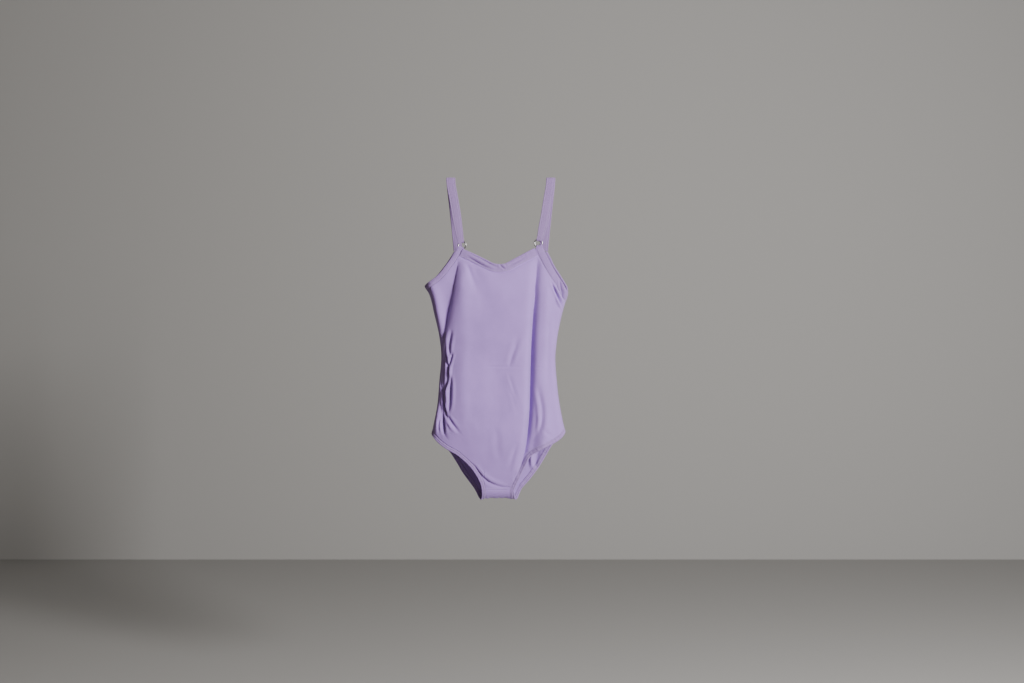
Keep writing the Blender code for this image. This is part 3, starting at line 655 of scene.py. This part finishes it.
def jersey(name, colour, wale, course, bump):
    """A cloth material with the jersey knit at its own gauge."""
    m = bpy.data.materials.new(name)
    m.use_nodes = True
    tree = m.node_tree
    shader = tree.nodes["Principled BSDF"]
    shader.inputs["Sheen Weight"].default_value = 0.22
    shader.inputs["Sheen Roughness"].default_value = 0.55
    shader.inputs["Sheen Tint"].default_value = (0.92, 0.86, 1.0, 1)
    shader.inputs["Specular IOR Level"].default_value = 0.18
    uv = tree.nodes.new("ShaderNodeUVMap")
    uv.uv_map = "cloth"
    g = tree.nodes.new("ShaderNodeGroup")
    g.node_tree = knit
    g.inputs["Wale"].default_value = wale
    g.inputs["Course"].default_value = course
    g.inputs["Colour"].default_value = (*colour, 1)
    lift = tree.nodes.new("ShaderNodeBump")
    lift.inputs["Strength"].default_value = bump
    lift.inputs["Distance"].default_value = 0.0003
    tree.links.new(uv.outputs[0], g.inputs["UV"])
    tree.links.new(g.outputs["Colour"], shader.inputs["Base Color"])
    tree.links.new(g.outputs["Roughness"], shader.inputs["Roughness"])
    tree.links.new(g.outputs["Height"], lift.inputs["Height"])
    tree.links.new(lift.outputs[0], shader.inputs["Normal"])
    return m


LILAC = (0.322, 0.196, 0.53)
body_jersey = jersey("body_jersey", LILAC, 0.0008, 0.0006, 0.5)


def cloth_mesh(name, points, quads, uvs, material, thick):
    """A sheet of cloth with its UV map in metres, and its thickness from Solidify."""
    mesh = bpy.data.meshes.new(name)
    mesh.from_pydata([tuple(v) for v in np.asarray(points, float) / 1000], [], [tuple(q) for q in quads])
    layer = mesh.uv_layers.new(name="cloth")
    loop_points = np.zeros(len(mesh.loops), int)
    mesh.loops.foreach_get("vertex_index", loop_points)
    layer.data.foreach_set("uv", (np.asarray(uvs, float)[loop_points] / 1000).ravel())
    mesh.materials.append(material)
    mesh.polygons.foreach_set("use_smooth", [True] * len(mesh.polygons))
    ob = bpy.data.objects.new(name, mesh)
    bpy.context.scene.collection.objects.link(ob)
    wall = ob.modifiers.new("wall", "SOLIDIFY")
    wall.thickness = thick / 1000
    wall.offset = 0
    wall.use_even_offset = False
    return ob


def panel(side, columns, leg_columns, rows):
    """A body panel as rows of places from its top edge to its bottom one, closer at deep creases."""
    neck, left, right = neck_inside(side, NECK_BAND - TUCK, -TUCK)
    top = np.vstack(
        [
            evenly(left, columns[0] + 1),
            evenly(neck, columns[1] + 1)[1:],
            evenly(right[::-1], columns[0] + 1)[1:],
        ]
    )
    legs = [
        evenly(on_panel(sign, leg_line(sign, LEG_HEM - TUCK), side), leg_columns[0] + 1)
        for sign in (-1, 1)
    ]
    crotch = evenly([legs[0][-1], legs[1][-1]], leg_columns[1] + 1)
    bottom = np.vstack([legs[0], crotch[1:], legs[1][::-1][1:]])
    for line in (top, bottom):
        line[:, 0] /= half_length(side, line[:, 1])
    count = len(top)
    ms, zs = [], []
    edge = np.array([0, 0.5, 1, 1.5, 2, 2.6, 3.3, 4.2, 5.3, 6.6]) / 320
    for r in np.concatenate([edge, np.linspace(edge[-1], 1 - edge[-1], rows - 18)[1:-1], 1 - edge[::-1]]):
        line = top + (bottom - top) * r
        m, z = line[:, 0] * half_length(side, line[:, 1]), line[:, 1]
        closer = np.ones(count)
        for _, path in CREASES[side][:26]:
            if path[:, 2].max() > 1.5:
                d, depth, reach, _ = from_line(path, m, z)
                closer += 0.35 * depth * np.exp(-((d / (1.5 * reach)) ** 2))
        closer = 1 + (closer - 1) * min(1, r / 0.05, (1 - r) / 0.05)
        total = np.concatenate([[0], np.cumsum((closer[1:] + closer[:-1]) / 2)])
        at = np.interp(np.linspace(0, total[-1], count), total, np.arange(count))
        z = np.interp(at, np.arange(count), line[:, 1])
        zs.append(z)
        ms.append(np.interp(at, np.arange(count), line[:, 0]) * half_length(side, z))
    return np.array(ms), np.array(zs)


def grid_faces(rows, columns):
    return [
        (i * columns + j, (i + 1) * columns + j, (i + 1) * columns + j + 1, i * columns + j + 1)
        for i in range(rows - 1)
        for j in range(columns - 1)
    ]


# Front panel: cut in one from the neck band to the seam in front of the crotch. Its top and leg
# edges are tucked inside the bands, and its side edges meet the back at a plain seam.
CROTCH_COLUMNS = 22
m, z = panel(0, (36, 74), (62, CROTCH_COLUMNS), 220)
front_points = creased(0, m, z)
front_body = cloth_mesh(
    "front_panel",
    front_points.reshape(-1, 3),
    grid_faces(*m.shape),
    np.stack([m.ravel(), z.ravel()], axis=1),
    body_jersey,
    WALL,
)
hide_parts("front_body")
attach(front_body, "root")


# Back panel: cut in one too, lower at the neck, and long enough to pass under the crotch to the
# seam in front. It is the same jersey.
LEG_COLUMNS = 50
m, z = panel(1, (32, 58), (LEG_COLUMNS, CROTCH_COLUMNS), 190)
back_points = creased(1, m, z)
points, faces = back_points.reshape(-1, 3), grid_faces(*m.shape)
uvs = np.stack([m.ravel(), z.ravel()], axis=1)


def under_crotch(share, turn, inside):
    """A place under the crotch: share from its left edge to its right, turn from back (0) to front (1)."""
    share, turn, inside = (np.asarray(v, float) for v in (share, turn, inside))
    ends = []
    for (behind, low, before), sign in zip(CROTCH_EDGES, (1, -1)):
        x = behind * (1 - turn) * (1 - 2 * turn) + low * 4 * turn * (1 - turn)
        x = x + before * turn * (2 * turn - 1)
        ends.append(x + sign * inside)
    x = ends[0] + (ends[1] - ends[0]) * share
    flat_x, top = x.ravel(), np.full(x.size, CROTCH_TOP)
    ys = []
    for side in (0, 1):
        along_it = np.array([across(side, v, CROTCH_TOP) for v in flat_x])
        ys.append(creased(side, along_it, top)[:, 1].reshape(x.shape))
    f = turn * math.pi
    wrinkle = np.sin(x * 0.62 + 1.2 * np.sin(x * 0.31)) + 0.6 * np.sin(x * 1.35 + 0.8)
    puff = 0.5 * wrinkle * np.sin(f) ** 2 - 1.3 * (1 - ((x + 4) / 22) ** 2) * np.sin(f) ** 2
    y = (ys[0] + ys[1]) / 2 + (ys[1] - ys[0]) / 2 * np.cos(f) * np.abs(np.cos(f))
    return np.stack([x, y, CROTCH_TOP - (CROTCH_DROP + puff * np.sin(f)) * np.sin(f)], axis=-1)


seam_turn = 1 - 0.1 / (math.pi * CROTCH_DROP)
turns = np.linspace(0, seam_turn, 32)[1:]
wide = CROTCH_COLUMNS + 1
shares = np.linspace(0, 1, wide)
strip = under_crotch(*np.broadcast_arrays(shares[None, :], turns[:, None], np.full((1, 1), LEG_HEM - TUCK)))
last = [(m.shape[0] - 1) * m.shape[1] + LEG_COLUMNS + k for k in range(wide)]
count = len(points)
for i in range(len(turns)):
    row = [count + i * wide + k for k in range(wide)]
    faces += [(last[k], row[k], row[k + 1], last[k + 1]) for k in range(CROTCH_COLUMNS)]
    last = row
points = np.vstack([points, strip.reshape(-1, 3)])
uvs = np.vstack([uvs, np.stack([strip[..., 0].ravel(), np.repeat(CROTCH_TOP - turns * 42, wide)], axis=1)])
back_body = cloth_mesh("back_panel", points, [f[::-1] for f in faces], uvs, body_jersey, WALL)
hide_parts("back_body")
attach(back_body, "root")

# Bands: a cut strip of the jersey folded over each edge and sewn down. Each is a soft roll at its
# outer edge, pressed flat along the stitching at its inner one.
band_jersey = jersey("band_jersey", (0.27, 0.166, 0.42), 0.00085, 0.0006, 0.55)


def profile(wide, rows_of_stitches, plump):
    """How far each place across a band is from its edge, and how thick it is there, from 0 to 1."""
    far_edge = [wide - 0.8, wide - 0.4, wide - 0.12, wide]
    d = np.unique(np.concatenate([[0, 0.12, 0.4, 0.8], np.arange(1.2, wide - 1, 0.45), far_edge]))
    near = np.minimum(d, wide - d)
    thick = np.where(near < 1, np.sqrt(np.clip(1 - (1 - near) ** 2, 0, 1)), 1.0)
    thick = thick * (1 + plump * np.exp(-(((d - 0.3 * wide) / (0.35 * wide)) ** 2)))
    for at in rows_of_stitches:
        thick = thick * (1 - 0.42 * np.exp(-(((d - at) / 0.6) ** 2)))
    return d / wide, thick


def band_mesh(name, places, thick, material, closed=False):
    """A folded strip: places are its middle surface, thick its half thickness there."""
    n, k = places.shape[:2]
    if closed:
        wrapped = np.concatenate([places[-1:], places, places[:1]])
        run = np.gradient(wrapped, axis=0)[1:-1]
    else:
        run = np.gradient(places, axis=0)
    normal = np.cross(run, np.gradient(places, axis=1))
    normal /= np.linalg.norm(normal, axis=-1, keepdims=True)
    upper, lower = places + normal * thick[..., None], places - normal * thick[..., None]
    ring = np.concatenate([upper, lower[:, 1:-1][:, ::-1]], axis=1)
    wide = ring.shape[1]
    middle = places[:, k // 2]
    s = np.concatenate([[0], np.cumsum(np.linalg.norm(np.diff(middle, axis=0), axis=1))])
    v = np.concatenate([[0], np.cumsum(np.linalg.norm(np.diff(places[n // 2], axis=0), axis=1))])
    v = np.concatenate([v, 2 * v[-1] - v[1:-1][::-1]])
    faces = []
    for i in range(n if closed else n - 1):
        j = (i + 1) % n
        for a in range(wide):
            b = (a + 1) % wide
            faces.append((i * wide + a, i * wide + b, j * wide + b, j * wide + a))
    if not closed:
        faces += [tuple(range(wide))[::-1], tuple((n - 1) * wide + a for a in range(wide))]
    mesh = bpy.data.meshes.new(name)
    mesh.from_pydata([tuple(p) for p in ring.reshape(-1, 3) / 1000], [], faces)
    layer = mesh.uv_layers.new(name="cloth")
    points = np.zeros(len(mesh.loops), int)
    mesh.loops.foreach_get("vertex_index", points)
    layer.data.foreach_set("uv", (np.stack([v[points % wide], s[points // wide]], axis=1) / 1000).ravel())
    mesh.polygons.foreach_set("use_smooth", [True] * len(mesh.polygons))
    mesh.materials.append(material)
    ob = bpy.data.objects.new(name, mesh)
    bpy.context.scene.collection.objects.link(ob)
    bpy.context.view_layer.objects.active = ob
    ob.select_set(True)
    bpy.ops.object.mode_set(mode="EDIT")
    bpy.ops.mesh.select_all(action="SELECT")
    bpy.ops.mesh.normals_make_consistent(inside=False)
    bpy.ops.object.mode_set(mode="OBJECT")
    ob.select_set(False)
    return ob, normal


def stitch_row(places, normal, half, share, at, face):
    """A line on a strip's face, with the way the face looks: at is how far across it is, from 0 to 1."""
    k = np.interp(at, share, np.arange(len(share)))
    i, f = int(k), k - int(k)
    j = min(i + 1, len(share) - 1)
    middle, way = places[:, i] * (1 - f) + places[:, j] * f, normal[:, i] * (1 - f) + normal[:, j] * f
    rise = half[:, i] * (1 - f) + half[:, j] * f
    return middle + face * way * rise[:, None], face * way


def on_line(line, s, at):
    return np.stack([np.interp(at, s, line[:, k]) for k in range(3)], axis=-1)


def thread_mesh(name, runs, thread=0.15):
    """Stitches as short rounded lengths of thread: each run is five places and their up directions."""
    points, faces = [], []
    swell = (0.75, 1.0, 1.0, 1.0, 0.75)
    for run, up in runs:
        start = len(points)
        ahead = run[-1] - run[0]
        ahead /= np.linalg.norm(ahead)
        aside = np.cross(ahead, up[2])
        aside /= np.linalg.norm(aside)
        above = np.cross(aside, ahead)
        points.append(run[0] - ahead * thread * 0.7)
        for place, fat in zip(run, swell):
            for q in range(6):
                turn = q * math.pi / 3
                points.append(place + thread * fat * (math.cos(turn) * aside + math.sin(turn) * above))
        points.append(run[-1] + ahead * thread * 0.7)
        last = start + 31
        for q in range(6):
            r = (q + 1) % 6
            faces.append((start, start + 1 + r, start + 1 + q))
            faces.append((last, last - 6 + q, last - 6 + r))
            for ring in range(4):
                a = start + 1 + ring * 6
                faces.append((a + q, a + r, a + 6 + r, a + 6 + q))
    mesh = bpy.data.meshes.new(name)
    mesh.from_pydata([tuple(p) for p in np.array(points) / 1000], [], faces)
    mesh.polygons.foreach_set("use_smooth", [True] * len(mesh.polygons))
    mesh.materials.append(thread_cotton)
    ob = bpy.data.objects.new(name, mesh)
    bpy.context.scene.collection.objects.link(ob)
    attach(ob, "root")
    return ob


def straight_stitches(line, up, pitch=2.5, long=1.9):
    s = np.concatenate([[0], np.cumsum(np.linalg.norm(np.diff(line, axis=0), axis=1))])
    runs = []
    for k in range(int(s[-1] / pitch)):
        at = (k + 0.5) * pitch + np.array([-0.5, -0.28, 0, 0.28, 0.5]) * long
        way = on_line(up, s, at)
        lift = np.array([-0.12, 0.07, 0.12, 0.07, -0.12])
        runs.append((on_line(line, s, at) + way * lift[:, None], way))
    return runs


def zigzag_stitches(one, other, pitch=1.5):
    """The looper thread on the inside of a twin-needle row, from one needle's line to the other's."""
    (a, up), (b, _) = one, other
    s = np.concatenate([[0], np.cumsum(np.linalg.norm(np.diff(a, axis=0), axis=1))])
    runs = []
    for k in range(int(s[-1] / pitch) - 1):
        at = (k + 0.5 + np.linspace(0, 1, 5)) * pitch
        share = np.linspace(0, 1, 5)[:, None]
        share = share if k % 2 else 1 - share
        way = on_line(up, s, at)
        runs.append((on_line(a, s, at) * (1 - share) + on_line(b, s, at) * share + way * 0.1, way))
    return runs


thread_cotton = bpy.data.materials.new("thread_cotton")
thread_cotton.use_nodes = True
shader = thread_cotton.node_tree.nodes["Principled BSDF"]
shader.inputs["Base Color"].default_value = (0.4, 0.32, 0.52, 1)
shader.inputs["Roughness"].default_value = 0.6
shader.inputs["Sheen Weight"].default_value = 0.2
twist = thread_cotton.node_tree.nodes.new("ShaderNodeTexWave")
twist.inputs["Scale"].default_value = 1100
twist.bands_direction = "DIAGONAL"
where = thread_cotton.node_tree.nodes.new("ShaderNodeTexCoord")
ply = thread_cotton.node_tree.nodes.new("ShaderNodeBump")
ply.inputs["Strength"].default_value = 0.4
ply.inputs["Distance"].default_value = 0.00005
thread_cotton.node_tree.links.new(where.outputs["Object"], twist.inputs["Vector"])
thread_cotton.node_tree.links.new(twist.outputs["Fac"], ply.inputs["Height"])
thread_cotton.node_tree.links.new(ply.outputs[0], shader.inputs["Normal"])


def between(outer, inner, share):
    """Rows of places from the outer line to the inner one, by the shares across."""
    return outer[:, None, :] + (inner - outer)[:, None, :] * share[None, :, None]


BAND_HALF = 0.95  # half a band's thickness
NECK_SEWN, ARM_SEWN, STRAP_SEWN = 1.6, 1.5, 2.0  # stitches in from the inner edge
LEG_SEWN = (1.3, 4.0)
for side, name, node in (
    (0, "neck_band_front", "neckline_binding_front"),
    (1, "neck_band_back", "neckline_binding_back"),
):
    share, thick = profile(NECK_BAND, (NECK_BAND - NECK_SEWN,), 0.35)
    outer = evenly(neck_line(side), 260)
    inner = evenly(neck_inside(side, NECK_BAND, 0.3)[0], 260)
    flat = between(outer, inner, share)
    places = creased(side, flat[..., 0], flat[..., 1])
    half = np.broadcast_to(thick * BAND_HALF, places.shape[:2])
    piece, normal = band_mesh(name, places, half, band_jersey)
    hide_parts(node)
    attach(piece, "root")
    face = np.sign(normal[130, 5, 1]) * (1 if side else -1)
    row = stitch_row(places, normal, half, share, (NECK_BAND - NECK_SEWN) / NECK_BAND, face)
    thread_mesh("neck_stitches_front" if side == 0 else "neck_stitches_back", straight_stitches(*row))

# Rings: two small rings of bent wire, each held in a loop of the front strap above and a loop of
# the armhole band below. Only their inner side shows.
wire_metal = bpy.data.materials.new("wire_metal")
wire_metal.use_nodes = True
shader = wire_metal.node_tree.nodes["Principled BSDF"]
shader.inputs["Base Color"].default_value = (0.34, 0.33, 0.35, 1)
shader.inputs["Metallic"].default_value = 1
shader.inputs["Roughness"].default_value = 0.28
grain = wire_metal.node_tree.nodes.new("ShaderNodeTexNoise")
grain.inputs["Scale"].default_value = 2600
where = wire_metal.node_tree.nodes.new("ShaderNodeTexCoord")
worn = wire_metal.node_tree.nodes.new("ShaderNodeBump")
worn.inputs["Strength"].default_value = 0.15
worn.inputs["Distance"].default_value = 0.00005
wire_metal.node_tree.links.new(where.outputs["Object"], grain.inputs["Vector"])
wire_metal.node_tree.links.new(grain.outputs["Fac"], worn.inputs["Height"])
wire_metal.node_tree.links.new(worn.outputs[0], shader.inputs["Normal"])
RING_RADIUS, RING_WIRE, LOOP_RADIUS = 5.4, 0.9, 2.1
RINGS = {-1: [-53.8, 0.0, -95.3], 1: [52.6, 0.0, -92.6]}


def round_side(sign, n, z):
    """Places on the cloth by distance from the side seam, positive in front, and height."""
    n, z = np.asarray(n, float), np.asarray(z, float)
    both = [creased(side, sign * (half_length(side, z) - np.abs(n)), z) for side in (0, 1)]
    return np.where((n >= 0)[..., None], both[0], both[1])


for sign, middle in RINGS.items():
    n, z = ARM_LINES[sign][0]
    middle[1] = float(round_side(sign, [n + ARM_BAND[sign] / 2], [z])[0, 1]) + LOOP_RADIUS
    bpy.ops.object.select_all(action="DESELECT")
    bpy.ops.mesh.primitive_torus_add(
        major_segments=96,
        minor_segments=24,
        major_radius=RING_RADIUS / 1000,
        minor_radius=RING_WIRE / 1000,
        location=[v / 1000 for v in middle],
        rotation=(math.pi / 2, 0, 0),
    )
    bpy.ops.object.transform_apply(location=True, rotation=True, scale=True)
    bpy.ops.object.shade_smooth()
    ring = bpy.context.object
    ring.name = "wire_ring_l" if sign < 0 else "wire_ring_r"
    ring.data.materials.clear()
    ring.data.materials.append(wire_metal)
    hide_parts("ring_left" if sign < 0 else "ring_right")
    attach(ring, "root")


def round_wire(sign, share, turn, up, tail):
    """Cloth round a ring's wire: turn from in front (0) to behind (1), tail how far on it lies flat."""
    angle = np.radians(sign * (74 - 107 * share))
    away = np.stack([np.sin(angle), 0 * angle, up * np.cos(angle)], axis=-1)
    wire = np.array(RINGS[sign]) + RING_RADIUS * away
    f = turn * math.pi
    lean = 0.24 * sign * tail if up > 0 else 0.2 * sign * tail
    around = LOOP_RADIUS * (math.cos(f) * np.array([0, -1.0, 0]) - math.sin(f) * away)
    return wire + around + np.array([lean, 0, up * tail])


# Armhole bands: each runs from the back corner, under the arm and up to the front corner, where
# its end goes through the ring and is sewn down inside.
for sign, name, node in (
    (-1, "arm_band_l", "armhole_binding_left"),
    (1, "arm_band_r", "armhole_binding_right"),
):
    share, thick = profile(ARM_BAND[sign], (ARM_BAND[sign] - ARM_SEWN,), 0.3)
    outer, inner = evenly(ARM_LINES[sign], 330), evenly(arm_line(sign, ARM_BAND[sign]), 330)
    flat = between(outer, inner, share)
    cloth = round_side(sign, flat[..., 0], flat[..., 1])
    loop = [round_wire(sign, share, 1, -1, tail) for tail in (7.0, 6, 5, 4, 3, 2, 1)]
    loop += [round_wire(sign, share, turn, -1, 0) for turn in np.linspace(1, 0, 20)]
    places = np.concatenate([np.array(loop), cloth[6:]])
    half = np.full(len(places), BAND_HALF)
    half[: len(loop)] = 0.7
    half = np.convolve(np.pad(half, 4, "edge"), np.ones(9) / 9, "valid")
    half = half[:, None] * thick[None, :]
    piece, normal = band_mesh(name, places, half, band_jersey)
    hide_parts(node)
    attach(piece, "root")
    face = -np.sign(normal[len(normal) // 4, 5, 1])
    line, way = stitch_row(places, normal, half, share, 1 - ARM_SEWN / ARM_BAND[sign], face)
    stitches = straight_stitches(line[30:], way[30:])
    line, way = (v.reshape(-1, 3) for v in (places[30], face * normal[30]))
    stitches += straight_stitches(line + way * BAND_HALF, way, 2.1, 1.6)
    thread_mesh("arm_stitches_l" if sign < 0 else "arm_stitches_r", stitches)

# Leg hems: the body's edge turned in over elastic and sewn with two rows, all round each leg.
for sign, name, node in ((-1, "leg_band_l", "leg_hem_left"), (1, "leg_band_r", "leg_hem_right")):
    share, thick = profile(LEG_HEM, (LEG_HEM - LEG_SEWN[0], LEG_HEM - LEG_SEWN[1]), 0.25)
    outer, inner = evenly(LEG_LINES[sign], 420), evenly(leg_line(sign, LEG_HEM), 420)
    flat = between(outer, inner, share)
    cloth = round_side(sign, flat[..., 0], flat[..., 1])
    turns = np.linspace(0, 1, 34)[1:-1]
    edge = np.full((1, 1), 0.0 if sign < 0 else 1.0)
    low = under_crotch(*np.broadcast_arrays(edge, turns[:, None], LEG_HEM * share[None, :]))
    places = np.concatenate([cloth, low])
    half = np.broadcast_to(thick * BAND_HALF, places.shape[:2])
    piece, normal = band_mesh(name, places, half, band_jersey, closed=True)
    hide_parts(node)
    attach(piece, "root")
    face = -np.sign(normal[len(normal) // 4, 5, 1])
    rows = [(LEG_HEM - sewn) / LEG_HEM for sewn in LEG_SEWN]
    stitches = []
    for at in rows:
        stitches += straight_stitches(*stitch_row(places, normal, half, share, at, face))
    stitches += zigzag_stitches(*(stitch_row(places, normal, half, share, at, -face) for at in rows))
    thread_mesh("leg_stitches_l" if sign < 0 else "leg_stitches_r", stitches)

# Crotch seam: the panels meet in front of the crotch, with a row of stitches on either side.
xs = np.linspace(-19.5, 12, 30)
above = np.full(30, CROTCH_TOP + 1.4)
toward = np.tile((0.0, -1.0, 0.0), (30, 1))
row = creased(0, np.array([across(0, x, z) for x, z in zip(xs, above)]), above)
stitches = straight_stitches(row + 0.55 * toward, toward)
row = under_crotch(np.linspace(0.08, 0.92, 30), np.full(30, 0.95), np.full(30, LEG_HEM))
toward = np.tile((0.0, -0.985, -0.17), (30, 1))
stitches += straight_stitches(row + 0.55 * toward, toward)
thread_mesh("crotch_stitches", stitches)

# Straps: each is one folded strip, sewn on at the back corner, that goes up over its top and down
# to the ring, round it, and a little way back up. The front half is drawn narrower at the ring.
strap_jersey = jersey("strap_jersey", (0.245, 0.157, 0.35), 0.0008, 0.0006, 0.5)
STRAP_WIDTH, STRAP_TURN, STRAP_HALF = 12.5, 3.5, 0.68
STRAP_TOP = -4.2  # where the turn over the top begins
STRAP_PATHS = {
    -1: (
        [(-60.3, -101.9), (-61.4, -88), (-64.2, -60), (-67, -34), (-69.4, -12), (-69.9, -4.2)],
        [(-69.9, -4.2), (-69, -12), (-65.7, -30), (-61.8, -52.5), (-58, -76), (-56.2, -86)],
    ),
    1: (
        [(60.2, -102.5), (61.5, -88), (64.4, -60), (67.2, -34), (69.6, -12), (70, -4.2)],
        [(70, -4.2), (69.2, -12), (66, -30), (62.4, -52.5), (57.6, -74), (55.4, -84)],
    ),
}
for sign, name, node in ((-1, "strap_l", "strap_left"), (1, "strap_r", "strap_right")):
    share, thick = profile(STRAP_WIDTH, (STRAP_SEWN, STRAP_WIDTH - STRAP_SEWN), 0.15)
    back_path, front_path = STRAP_PATHS[sign]
    foot = creased(1, [across(1, *back_path[0])], [back_path[0][1]])[0, 1]
    chest = RINGS[sign][1] - LOOP_RADIUS
    strands = []
    for path, y_end, way in ((back_path, foot, 1), (front_path, chest, -1)):
        top, low = STRAP_TOP, min(z for _, z in path)
        strand = []
        for x, z in path:
            part = (top - z) / (top - low)
            wide = STRAP_WIDTH - (3.2 * max(0, (part - 0.75) / 0.25) if way < 0 else 0)
            strand.append((x, way * STRAP_TURN * (1 - part) + y_end * part, z, wide))
        strands.append(smooth_line(strand, 90))
    turn = np.linspace(0, math.pi, 22)[1:-1]
    x = np.full(len(turn), strands[0][-1][0])
    y, z = STRAP_TURN * np.cos(turn), STRAP_TOP + STRAP_TURN * np.sin(turn)
    arc = np.stack([x, y, z, np.full(len(turn), STRAP_WIDTH)], axis=1)
    line = np.vstack([strands[0], arc, strands[1]])
    ahead = np.gradient(line[:, :3], axis=0)
    ahead /= np.linalg.norm(ahead, axis=1)[:, None]
    aside = np.array([1.0, 0, 0]) - ahead[:, :1] * ahead
    aside *= sign / np.linalg.norm(aside, axis=1)[:, None]
    places = line[:, None, :3] + aside[:, None, :] * (line[:, 3:] * (0.5 - share[None, :]))[..., None]
    loop = [round_wire(sign, share, turn, 1, 0) for turn in np.linspace(0, 1, 20)]
    loop += [round_wire(sign, share, 1, 1, tail) for tail in (1.5, 3, 4.5, 6, 7.5, 9)]
    places = np.concatenate([places, np.array(loop)])
    half = np.broadcast_to(thick * STRAP_HALF, places.shape[:2])
    piece, normal = band_mesh(name, places, half, strap_jersey)
    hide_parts(node)
    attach(piece, "root")
    ring = "wire_ring_l" if sign < 0 else "wire_ring_r"
    face = np.sign(normal[8, 5, 1])
    stitches = []
    for at in (STRAP_SEWN, STRAP_WIDTH - STRAP_SEWN):
        line, way = stitch_row(places, normal, half, share, at / STRAP_WIDTH, face)
        stitches += straight_stitches(line[:198], way[:198])
    thread_mesh("strap_stitches_l" if sign < 0 else "strap_stitches_r", stitches)

# Setting: a pale plain floor and wall, soft light from the right in front, as in the photo.
bpy.ops.object.select_all(action="DESELECT")
bpy.ops.mesh.primitive_plane_add(size=1, location=(0, -0.6, -0.78))
floor = bpy.context.object
floor.name = "floor"
floor.scale = (7, 5, 1)
bpy.ops.object.transform_apply(location=False, rotation=False, scale=True)
bpy.ops.mesh.primitive_plane_add(size=1, location=(0, 1.6, 1.2), rotation=(math.pi / 2, 0, 0))
wall = bpy.context.object
wall.name = "wall"
wall.scale = (9, 6, 1)
bpy.ops.object.transform_apply(location=False, rotation=False, scale=True)
pale = bpy.data.materials.new("pale_paint")
pale.use_nodes = True
pale.node_tree.nodes["Principled BSDF"].inputs["Base Color"].default_value = (0.4, 0.395, 0.39, 1)
pale.node_tree.nodes["Principled BSDF"].inputs["Roughness"].default_value = 0.9
for ob in (floor, wall):
    ob.data.materials.append(pale)

for name, at, size, power, colour in (
    ("key", (1.3, -1.55, 0.25), 0.5, 88, (1.0, 0.98, 0.96)),
    ("fill", (-1.7, -1.5, 0.2), 1.2, 1.6, (1.0, 0.8, 0.52)),
    ("top", (0.1, -0.3, 1.5), 0.8, 8, (1.0, 0.97, 0.93)),
):
    light = bpy.data.lights.new(name, "AREA")
    light.size = size
    light.energy = power
    light.color = colour
    ob = bpy.data.objects.new(name, light)
    ob.location = at
    ob.rotation_euler = (Vector((0, 0, -0.24)) - Vector(at)).to_track_quat("-Z", "Y").to_euler()
    bpy.context.scene.collection.objects.link(ob)
world = bpy.data.worlds.new("studio")
world.use_nodes = True
world.node_tree.nodes["Background"].inputs[0].default_value = (1.0, 0.85, 0.6, 1)
world.node_tree.nodes["Background"].inputs[1].default_value = 0.04
bpy.context.scene.world = world

# Camera: level and straight on, at the photo's distance.
lens = bpy.data.cameras.new("photo_camera")
lens.lens = 50
lens.sensor_width = 36
camera = bpy.data.objects.new("photo_camera", lens)
camera.location = (0.0158, -1.991, -0.2296)
camera.rotation_euler = (math.pi / 2, 0, 0)
bpy.context.scene.collection.objects.link(camera)
bpy.context.scene.camera = camera
